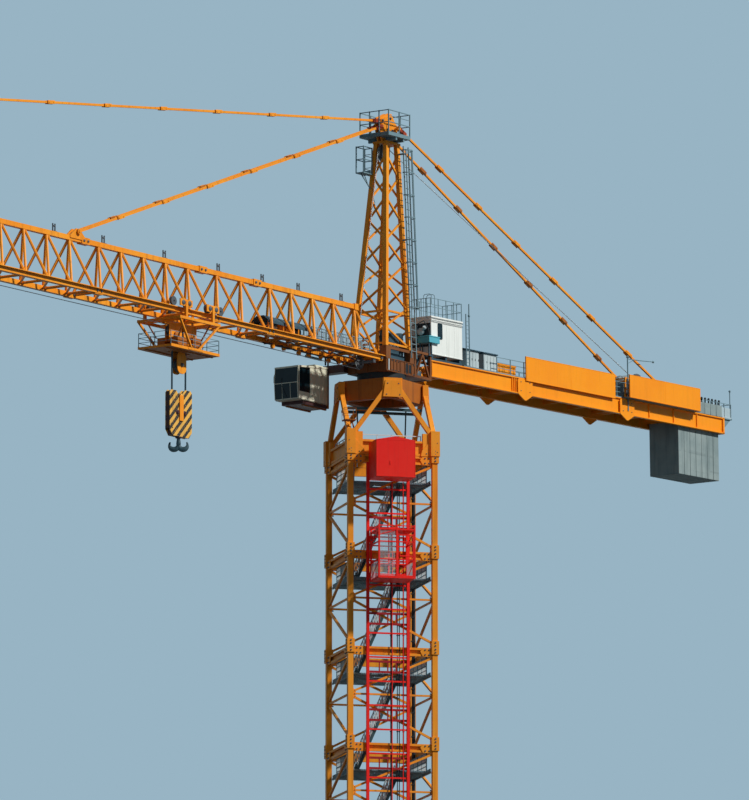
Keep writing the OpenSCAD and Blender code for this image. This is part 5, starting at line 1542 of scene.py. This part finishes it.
@dataclass
class Cab:
    """The cab: a shell under a roof that falls to the front, framed glass, wiper, mirror and panels."""

    back: float = 160.0
    front: float = 408.0
    split: float = 312.0
    near: float = -215.0
    far: float = -357.0
    base: float = 3210.0
    roof: float = 3394.0
    sill: float = 3250.0

    def build(self) -> None:
        """Makes the cab's pieces in place of the plain ones."""
        self.shell()
        self.glazing()
        self.trims()

    def shell(self) -> None:
        """Adds the shell with its ribs and the panels behind and below it, brown with painted shade."""
        shell, brown = sketches(2)
        near, far, z0, z1 = self.near, self.far, self.base, self.roof
        back, front, split = self.back, self.front, self.split
        for y, s in ((near, 1), (far, -1)):
            shell.plate([(back, z0), (split, z0), (split, z1 - 12), (back, z1)], (0, y - s * 2, 0), 4)
            shell.plate([(split - 1, z0), (front, z0), (front, self.sill), (split - 1, self.sill)],
                        (0, y - s * 2, 0), 4)
            for n in range(4):
                x = back + 16 + n * 35
                shell.box(x, x + 24, y, y + s * 1.8, z0 + 12, z1 - 22 - n * 2)
        shell.box(back, front, far, near, z0 - 0.5, z0 + 4)
        shell.box(back, back + 4, far, near, z0, z1)
        shell.plate([(back - 2, z1 - 2), (front + 8, z1 - 24), (front + 8, z1 - 15), (back - 2, z1 + 7)],
                    (0, (near + far) / 2, 0), near - far + 5)
        shell.box(back + 14, back + 92, far + 18, near - 18, z1 + 2, z1 + 12)
        brown.box(back - 16, back - 0.5, far + 4, near - 4, z0 - 16, z1 + 2)
        brown.box(back + 4, back + 196, far + 8, near - 8, z0 - 17, z0 - 0.6)
        for y in (near - 119, near - 23):
            brown.box(back - 14, back + 188, y - 5, y + 5, z0 - 24, z0 - 15)
        piece = shell.done("cab_shell", Finishes.cream, Slot.HOUSE, 1.4)
        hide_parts("cab_body")
        brown.done("cab_backing", Finishes.crane_shade, Slot.CRANE, 0.8)

    def glazing(self) -> None:
        """Adds the bowed front pane, the side windows, and a black back panel and seat that paint the shade inside."""
        glass, inside = sketches(2)
        near, far, z0, z1 = self.near, self.far, self.base, self.roof
        front, split = self.front, self.split
        rows = [(front - 1, z0 + 3), (front + 6, z0 + 3), (front + 12, z0 + 82), (front + 6, z1 - 22),
                (front - 1, z1 - 22)]
        glass.loft([[(x, y, z) for x, z in rows] for y in (near - 2, far + 2)])
        for y in (near - 1.2, far + 1.2):
            glass.box(split, front, y - 1, y + 1, self.sill, z1 - 27)
        # black panel behind the panes: painted shade of the cab's inside; the next two boxes form the seat
        inside.box(split + 2, split + 26, far + 14, near - 14, z0 + 6, z1 - 40)
        inside.box(split + 30, split + 70, far + 40, near - 40, z0 + 8, z0 + 60)
        inside.box(split + 26, split + 36, far + 44, near - 44, z0 + 50, z0 + 128)
        piece = glass.done("cab_panes", Finishes.glass, Slot.GLASS)
        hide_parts("cab_glass")
        inside.done("cab_seat_and_inside_shade", Finishes.black, Slot.DARK, 2.0)

    def trims(self) -> None:
        """Adds the window frames, the wiper and the mirror."""
        bars, dark = sketches(2)
        near, far, z0, z1 = self.near, self.far, self.base, self.roof
        front, split = self.front, self.split
        for y in (near - 0.6, far + 0.6):
            bars.bar((front, y, z0 + 2), (front, y, z1 - 20), 5)
            bars.box(split, front, y - 1.6, y + 1.6, self.sill - 3, self.sill + 1)
            bars.box(split - 2, split + 2, y - 1.6, y + 1.6, self.sill, z1 - 24)
            bars.bar((front + 12.4, y, z0 + 82), (front + 6.5, y, z1 - 22), 3)
        for y, width in ((near - 0.6, 3), (far + 0.6, 3), (near - 46, 2.4), (far + 46, 2.4)):
            bars.bar((front + 6.5, y, z0 + 3), (front + 12.4, y, z0 + 82), width)
        bars.bar((front + 12, near - 2, z0 + 84), (front + 12, far + 2, z0 + 84), 3, 4)
        bars.bar((front + 6.6, near - 2, z0 + 4), (front + 6.6, far + 2, z0 + 4), 4)
        dark.bar((front + 9, near - 70, z0 + 14), (front + 13, near - 98, z0 + 74), 2)
        dark.bar((front + 12, near - 98, z0 + 34), (front + 13, near - 98, z0 + 112), 2.4)
        dark.tube([(front - 8, far, z0 + 132), (front + 2, far - 8, z0 + 134), (front + 2, far - 8, z0 + 96)],
                  1.5, 6)
        dark.box(front - 1, front + 3, far - 11.5, far - 3, z0 + 92, z0 + 126)
        bars.done("cab_frames", Finishes.cream, Slot.HOUSE, 0.4)
        dark.done("cab_wiper_mirror", Finishes.black, Slot.DARK)


@dataclass
class JibDetail:
    """Pins of the jib's joints, hoses and pulleys at its root, and side panels."""

    joints: tuple[float, ...] = (1076, 1526, 2476, 3426, 4376, 5326, 6276, 7226)
    chord: float = 86.0
    top: float = 250.0

    def build(self) -> None:
        """Makes the details along the jib."""
        pins = Sketch(UPPER)
        for x in self.joints:
            for at in (x - 16, x + 16):
                pins.both.turned([(6, -20), (6, 20), (4, 21)], (at, self.chord - 4, 0), ACROSS, 10)
                pins.turned([(6, -20), (6, 20), (4, 21)], (at, 0, self.top), ACROSS, 10)
        pins.both.turned([(8, -18), (8, 18)], (140, self.chord, -2), ACROSS, 14)
        pins.done("jib_pins", Finishes.dark, Slot.DARK)
        self.root()

    def root(self) -> None:
        """Adds pulleys, hangers and hoses under the jib near the tower, and the walkway's infill."""
        hoses, gold, strip, pale = sketches(4, UPPER)
        for n, x in enumerate((236, 300, 372, 452, 540, 640, 752, 860)):
            z = -24 - 5 * (n % 3)
            y = -self.chord + 26 + 10 * (n % 2)
            gold.turned([(11, -7), (13, -5), (10, -2), (10, 2), (13, 5), (11, 7)], (x, y, z), ACROSS, 16)
            gold.box(x - 3, x + 3, y - 9, y + 9, z, -6)
        for k, (drop, y) in enumerate(((16, -60), (24, -48), (20, 36))):
            points = [(150 + n * 52, y + 3 * (-1) ** n,
                       -14 - drop * abs(math.sin(n * 1.3 + k)) * (1.0 if n < 4 else 0.55)) for n in range(16)]
            hoses.tube(points, 3.2, 7)
        for x in (330, 352):
            hoses.box(x - 3, x + 3, -96, -90, -52, -12)
        strip.box(375, 512, -104, -98, -32, -20)
        for x in (380, 500):
            strip.box(x, x + 6, -103, -99, -21, -11)
        for n in range(34):
            pale.both.post(142 + n * 14.6, 25, 0.9, 16, 88)
        hoses.done("jib_hoses", Finishes.black, Slot.DARK)
        gold.done("jib_root_gear", Finishes.crane, Slot.CRANE, 0.4)
        strip.done("jib_root_strip", Finishes.turquoise, Slot.GREY)
        pale.done("jib_walk_panels", Finishes.pale, Slot.GREY)


@dataclass
class WinchCover:
    """The trolley winch under a folded sheet roof on posts: drum, motor, gearbox and brake."""

    x0: float = 651.0
    x1: float = 1036.0
    deck: float = 10.0
    eaves: float = 68.0

    def build(self) -> None:
        """Makes the roof in place of the plain cover, and the machine below it."""
        roof, dark, gold, pale = sketches(4, UPPER)
        x0, x1, low, top = self.x0, self.x1, self.deck, self.eaves
        section = [(-50, top), (-50, top + 3), (-22, top + 26), (22, top + 26),
                   (50, top + 3), (50, top), (20, top + 22), (-20, top + 22)]
        roof.loft([[(x, *point) for point in section] for x in (x0, x1)])
        roof.both.box(x0, x1, 48.5, 51.5, top - 12, top + 2)
        for x in (x0 + 8, x0 + 126, x0 + 252, x1 - 8):
            gold.both.post(x, 46, 3, low, top)
        gold.both.box(x0, x1, 36, 44, low, low + 10)
        for x in (x0 + 8, x1 - 8):
            gold.box(x - 3, x + 3, -46, 46, low + 30, low + 35)
        dark.turned([(32, -38), (34, -36), (34, -32), (25, -31), (25, 31), (34, 32), (34, 36), (32, 38)],
                    (x0 + 120, 0, 46), ALONG, 28)
        for n in range(9):
            dark.turned([(25.4, -2.6), (27.4, 0), (25.4, 2.6)], (x0 + 96 + n * 6, 0, 46), ALONG, 24)
        dark.turned([(22, -12), (24, -10), (24, 10), (22, 12)], (x1 - 30, 0, 44), ACROSS, 20)
        gold.turned([(20, 0), (26, 6), (26, 34), (20, 40)], (x0 + 166, 0, 46), ALONG, 18)
        gold.box(x0 + 210, x0 + 262, -28, 28, low, 62)
        pale.turned([(17, 0), (18, 3), (18, 58), (14, 62)], (x0 + 266, 4, 44), ALONG, 18)
        pale.box(x0 + 284, x0 + 308, -14, 14, 58, 70)
        pale.box(x0 + 38, x0 + 70, -30, 30, low, 40)
        piece = roof.done("winch_roof", Finishes.slate, Slot.GREY, 0.4)
        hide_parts("trolley_winch")
        dark.done("trolley_winch_drum", Finishes.dark, Slot.DARK)
        gold.done("trolley_winch_stands", Finishes.crane, Slot.CRANE, 0.4)
        pale.done("trolley_winch_motor", Finishes.cabinet, Slot.GREY, 0.5)


@dataclass
class TowerTop:
    """Sheaves, link plates, lamp, extra rails and toe boards at the tower head's top."""

    top: float = 1115.0
    back: float = -44.0
    deck_x: float = -30.0
    deck_z: float = 1145.0

    def build(self) -> None:
        """Makes the details of the cap, the platform and the basket."""
        plates, red, dark = sketches(3, UPPER)
        x, z = self.back, self.top
        plates.both.plate([(-62, z + 66), (-20, z + 52), (34, z + 60), (72, z + 84), (76, z + 122),
                           (44, z + 134), (8, z + 150), (-18, z + 150), (-44, z + 118), (-66, z + 100)], (x, 20, 0), 5)
        for dx, high in ((66, 115), (66, 86), (-43, 86), (0, 134), (20, 76), (-16, 74)):
            dark.both.bolts([x + dx], [22.6], [z + high], ACROSS, 7)
        for dx, high, r in ((-6, 112, 24), (26, 96, 18)):
            dark.turned([(r, -7), (r + 2, -5), (r - 3, -2), (r - 3, 2), (r + 2, 5), (r, 7)],
                        (x + dx, 0, z + high), ACROSS, 28)
        red.both.bar((x + 66, 22, z + 86), (x + 126, 23.5, z + 64), 13, 19)
        red.both.bar((x - 43, 45, z + 86), (x - 99, 46.5, z + 62), 13, 19)
        red.bar((x + 66, 0, z + 115), (x + 126, 0, z + 107), 18, 20)
        dark.tube([(x + 4, -6, z + 120), (x + 4, -6, z + 158)], 3.4)
        dark.turned([(4, 0), (6, 3), (6, 7), (3, 11)], (x + 4, -6, z + 147), RISE, 12)
        plates.done("cap_plates", Finishes.crane, Slot.CRANE, 0.6)
        red.done("tie_connectors", Finishes.rust, Slot.CRANE, 0.8)
        dark.done("cap_sheaves", Finishes.dark, Slot.DARK)
        self.rails()

    def rails(self) -> None:
        """Adds the toe boards and the basket's close rails."""
        rails = Sketch(UPPER)
        x0, x1, y, z = self.deck_x - 94, self.deck_x + 94, 89.0, self.deck_z
        rails.both.box(x0, x1, y - 1.2, y + 1.2, z, z + 17)
        rails.both.box(x0, x1, y - 1.4, y + 1.4, z + 95, z + 97.8)
        for x in (x0, x1 - 2.4):
            rails.box(x, x + 2.4, -y, y, z, z + 17)
        floor, x, y = self.top - 159, -29.0, -82.0
        for z in (floor + 34, floor + 102):
            for a, b in (((2, 2), (76, 2)), ((76, 2), (76, 48)), ((2, 2), (2, 48))):
                rails.bar((x + a[0], y + a[1], z), (x + b[0], y + b[1], z), 2.6)
        rails.box(x, x + 78, y, y + 2, floor + 4, floor + 20)
        rails.box(x + 76, x + 78, y, y + 50, floor + 4, floor + 20)
        rails.tube([(x + 74, y + 8, floor + 2), (x + 40, y + 50, floor - 140)], 1.8, 6)
        rails.done("top_rails", Finishes.grey, Slot.GREY)


@dataclass
class TieLinks:
    """Fork plates and pins where the links of the ties join."""

    def build(self) -> None:
        """Makes the forks of all ties."""
        near, far = sketches(2)
        for sketch, a, b, link in (
            (near, (22, 22, 4626), (2540, 22, 3711), 386), (far, (22, -22, 4626), (2540, -22, 3711), 386),
            (near, (22, 0, 4655), (7480, 0, 3711), 455),
            (near, (-87, 45, 4626), COUNTER @ Vector((2228.0, -105.0, 89.0)), 360),
            (far, (-87, -45, 4626), COUNTER @ Vector((2228.0, 105.0, 89.0)), 360),
        ):
            self.forks(sketch, Vector(a), Vector(b), link)
        near.done("tie_forks_near", Finishes.crane, Slot.CRANE, 0.5)
        # the far forks take the darker orange as painted shade
        far.done("tie_forks_far", Finishes.crane_shade, Slot.CRANE, 0.5)

    def forks(self, sketch: Sketch, a: Vector, b: Vector, link: float) -> None:
        """Adds a pair of fork plates with two pins at each joint of a tie.

        Args:
            sketch: takes the forks.
            a: the tie's pin at the tower head.
            b: its other pin.
            link: distance between joints.
        """
        span = b - a
        along = span.normalized()
        side = (Vector(ACROSS) - along * along.y).normalized()
        for k in range(1, int((span.length - 60) / link) + 1):
            p = a + along * (k * link + 17)
            for s in (-9, 9):
                sketch.bar(p + side * s - along * 27, p + side * s + along * 27, 2.6, 17)
            for dx in (-17, 17):
                sketch.turned([(4.6, -12), (4.6, 12)], p + along * dx, side, 10)


@dataclass
class TrolleyDetail:
    """The trolley: bogies, the V frames that carry the deck, its machine, thin rails and sheaves."""

    x: float = 1705.0
    frame_y: float = 123.5
    wheel_z: float = 33.0
    rail_z: float = -46.0
    deck: float = -186.0
    long: float = 198.0
    wide: float = 99.0

    def build(self) -> None:
        """Makes the trolley's pieces in place of its plain frame and platform."""
        chassis, shade_orange, cheeks, dark, rails, planks = sketches(6, Matrix.Translation((self.x, 0, JIB_Z)))
        z = self.deck
        self.hangers(chassis, shade_orange, dark)
        self.platform(rails, planks, shade_orange, chassis)
        cheeks.both.plate(rounded(-36, z - 104, 72, 108, 30, 6), (0, 17, 0), 5)
        dark.both.bolts([0], [19.4], [z - 60], ACROSS, 10)
        dark.turned([(30, -8), (35, -7), (35, -5), (29, -1.5), (29, 1.5), (35, 5), (35, 7), (30, 8)],
                    (0, 0, z - 60), ACROSS, 40)
        piece = chassis.done("trolley_chassis", Finishes.crane, Slot.CRANE, 0.6, Body.TROLLEY)
        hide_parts("trolley_frame")
        # the trolley deck takes the darker orange as painted shade
        piece = planks.done("trolley_deck", Finishes.crane_shade, Slot.GREY, 0.5, Body.TROLLEY)
        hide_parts("trolley_platform")
        shade_orange.done("trolley_panels", Finishes.crane_shade, Slot.CRANE, 0.6, Body.TROLLEY)
        cheeks.done("trolley_cheeks", Finishes.crane, Slot.CRANE, 0.8, Body.TROLLEY)
        dark.done("trolley_rollers", Finishes.dark, Slot.DARK, body=Body.TROLLEY)
        rails.done("trolley_rails", Finishes.grey, Slot.GREY, body=Body.TROLLEY)

    def hangers(self, chassis: Sketch, shade_orange: Sketch, dark: Sketch) -> None:
        """Adds the bogies, the V frames, the cross beams, the sheave plates and the machine.

        Args:
            chassis: takes the bright bars and plates.
            shade_orange: takes the machine's boxes and wheels, in orange darkened as painted shade.
            dark: takes the wheel caps.
        """
        low, y, wheel, rail = self.deck + 7, self.frame_y, self.wheel_z, self.rail_z
        for x in (-109, 109):
            chassis.both.box(x - 50, x + 50, y - 3, y + 3, wheel - 17, wheel + 17)
            chassis.both.box(x - 8, x + 8, y - 5, y + 7, rail, wheel + 10)
            for at in (x - 25, x + 25):
                dark.both.turned([(12, 0), (13, 2), (10, 5), (4, 6)], (at, y + 2.5, wheel), ACROSS, 16)
        chassis.both.box(-165, 165, y - 5.5, y + 7.5, rail - 2, rail + 12)
        chassis.both.box(-60, 60, 91, 103, low - 5, low + 6)
        for t in (-1, 1):
            chassis.both.bar((t * 158, y + 1, rail), (t * 26, 97, low), 10)
            shade_orange.both.bar((t * 104, 110, rail), (t * 93.6, 66, low + 58), 6)
        for x0, x1, y1, z0, z1 in ((-126, -22, 14, -140, -50), (-6, 96, 14, -140, -50),
                                   (-122, 122, 15, -56, -44)):
            chassis.both.box(x0, x1, 10.5, y1, z0, z1)
        for x in (-60, 44):
            shade_orange.both.turned([(15, 0), (17, 3), (17, 8), (10, 11)], (x, 15, -104), ACROSS, 18)
        shade_orange.both.box(-96, -28, 18, 66, -172, -112)
        shade_orange.both.box(18, 92, 18, 62, -168, -120)
        chassis.both.box(-10, 14, 40, 64, -160, -128)
        for x in (-158, 158):
            chassis.box(x - 6, x + 6, -y, y, rail - 1, rail + 11)
        for x in (-50, 50):
            chassis.box(x - 6, x + 6, -102, 102, low - 5, low + 6)
        for x in (-116, 0, 116):
            chassis.box(x - 5, x + 5, -118, 118, rail - 2, rail + 8)

    def platform(self, rails: Sketch, planks: Sketch, shade_orange: Sketch, chassis: Sketch) -> None:
        """Adds the deck with its edges, open at both falls, and thin rails on all four sides.

        Args:
            rails: takes the railing.
            planks: takes the deck.
            shade_orange: takes the beams below it, in orange darkened as painted shade.
            chassis: takes the edges.
        """
        z, long, wide = self.deck, self.long, self.wide
        planks.both.box(-long, long, 20, wide, z, z + 6)
        for x0, x1 in ((-long, -73), (-37, 37), (73, long)):
            planks.box(x0, x1, -20.5, 20.5, z, z + 6)
        shade_orange.both.box(-194, 194, 57, 63, z - 5, z + 0.5)
        chassis.both.box(-long, long, wide - 1, wide + 2, z - 1, z + 13)
        for x in (1 - long, long - 1):
            chassis.box(x - 1.5, x + 1.5, -wide, wide, z - 1, z + 10)
        x, y = long - 2, wide - 2
        rails.railing([(-x, -y), (x, -y), (x, y), (-x, y)], (4, 2), 1.5, (z + 5, z + 78),
                      (z + 30, z + 54, z + 77), 2.4)


@dataclass
class HoistFalls:
    """The two falls as thick stranded rope."""

    x: float = 1705.0
    gauge: float = 55.0
    radius: float = 2.9
    top: float = 3342.0
    foot: float = 2944.0
    steps: int = 24

    def build(self) -> None:
        """Makes both falls with many rings."""
        falls = Sketch()
        pitch = (self.top - self.foot) / self.steps
        for x in (self.x - self.gauge, self.x + self.gauge):
            for s in (-1, 1):
                falls.tube([(x + s * 2.2, s * 3.6, self.foot + pitch * k) for k in range(self.steps + 1)],
                           self.radius)
        piece = falls.done("hoist_falls", Finishes.slate, Slot.ROPE, body=None)
        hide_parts("rope_falls")
        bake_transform(piece)


@dataclass
class BlockDetail:
    """Striped side plates with notched tops, the orange bars and the dark jib-side cover."""

    x: float = 1705.0
    z: float = 2944.0
    half_l: float = 90.0
    half_h: float = 118.0

    def build(self) -> None:
        """Makes the hook block in place of its plain plates."""
        plates, bars, dark = sketches(3, Matrix.Translation((self.x, 0, self.z)))
        l, h = self.half_l, self.half_h
        plates.both.plate([(-l, -h + 30), (-l + 24, -h), (l - 24, -h), (l, -h + 30), (l, h - 26),
                           (l - 14, h - 12), (38, h - 12), (26, h - 24), (-14, h - 24), (-26, h - 12), (-40, h - 2),
                           (-l + 12, h - 2), (-l, h - 14)], (0, 11.8, 0), 5)
        bars.both.box(-15, 15, 14, 20, 78 - h, h - 32)
        for x in (-29, 29):
            dark.both.turned([(13, 0), (13, 2), (8, 4), (8, 7)], (x, 14.2, 0), ACROSS, 20)
        for x, z in ((-70, 80), (70, 76), (-70, -80), (70, -80)):
            dark.both.bolts([x], [14.2], [z], ACROSS, 3.6)
        for s in (-1, 1):
            dark.box(s * (l - 3) - 3, s * (l - 3) + 3, -9, 9, 34 - h, h - 20)
            dark.box(s * 62 - 14, s * 62 + 14, -9, 9, 3 - h, 34 - h)
        dark.box(-34, 34, -9.2, 9.2, 2 - h, 46 - h)
        dark.turned([(16, 0), (16, -6), (12, -8)], (0, 0, 2 - h), RISE, 20)
        piece = plates.done("block_side_plates", Finishes.stripes, Slot.STRIPES, 1.0, Body.BLOCK)
        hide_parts("block_plates")
        bars.done("block_bars", Finishes.crane, Slot.STRIPES, 0.8, Body.BLOCK)
        dark.done("block_fittings", Finishes.maroon, Slot.STRIPES, 0.4, Body.BLOCK)


@dataclass
class ForgedHook:
    """The double hook, forged thick at its bowls and drawn out to its points."""

    x: float = 1705.0
    top: float = 2825.7
    turn: float = math.radians(125)
    bowl: float = 22.0
    centre: float = -38.0
    sweep: float = 218.0
    rings: int = 21

    def build(self) -> None:
        """Makes the shank, both bowls and the nut."""
        hook = Sketch(Matrix.Translation((self.x, 0, self.top)) @ Matrix.Rotation(self.turn, 4, "Z"))
        hook.turned([(8.5, 1.5), (8.5, -12), (10.5, -24), (11.5, self.centre + 4), (9, self.centre - 3)],
                    (0, 0, 0), RISE, 20)
        for s in (-1, 1):
            middle = Vector((s * self.bowl, 0, self.centre))
            rings = []
            for k in range(self.rings + 1):
                t = k / self.rings
                a = math.radians(s * self.sweep * t) + (math.pi if s > 0 else 0.0)
                out = Vector((math.cos(a), 0, math.sin(a)))
                thick = 9.5 + 2.4 * math.sin(math.pi * min(1.0, t * 1.25)) - 6.2 * max(0.0, t - 0.55) / 0.45
                rings.append([middle + out * (self.bowl + c * 1.1) + Vector((0, n * 0.86, 0))
                              for c, n in circle(14, thick)])
            hook.loft(rings, smooth=True)
        piece = hook.done("forged_hook", Finishes.forged, Slot.DARK, body=Body.HOOK)
        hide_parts("ramshorn_hook")


def main() -> None:
    """Builds the studio and the crane's pieces, and reports each one."""
    logging.basicConfig(level=logging.INFO, format="%(message)s")
    for part in (Studio(), CarriedPieces(), JibPosts(), MastJoints(), MastDecks(), MastStairs(), LiftDetail(),
                 HeadBolts(), TurntableDetail(), HouseDetail(), Cabinets(), Girders(), CounterRails(),
                 CounterBits(), Cab(), JibDetail(), WinchCover(), TowerTop(), TieLinks(),
                 TrolleyDetail(), HoistFalls(), BlockDetail(), ForgedHook()):
        part.build()


if __name__ == "__main__":
    main()
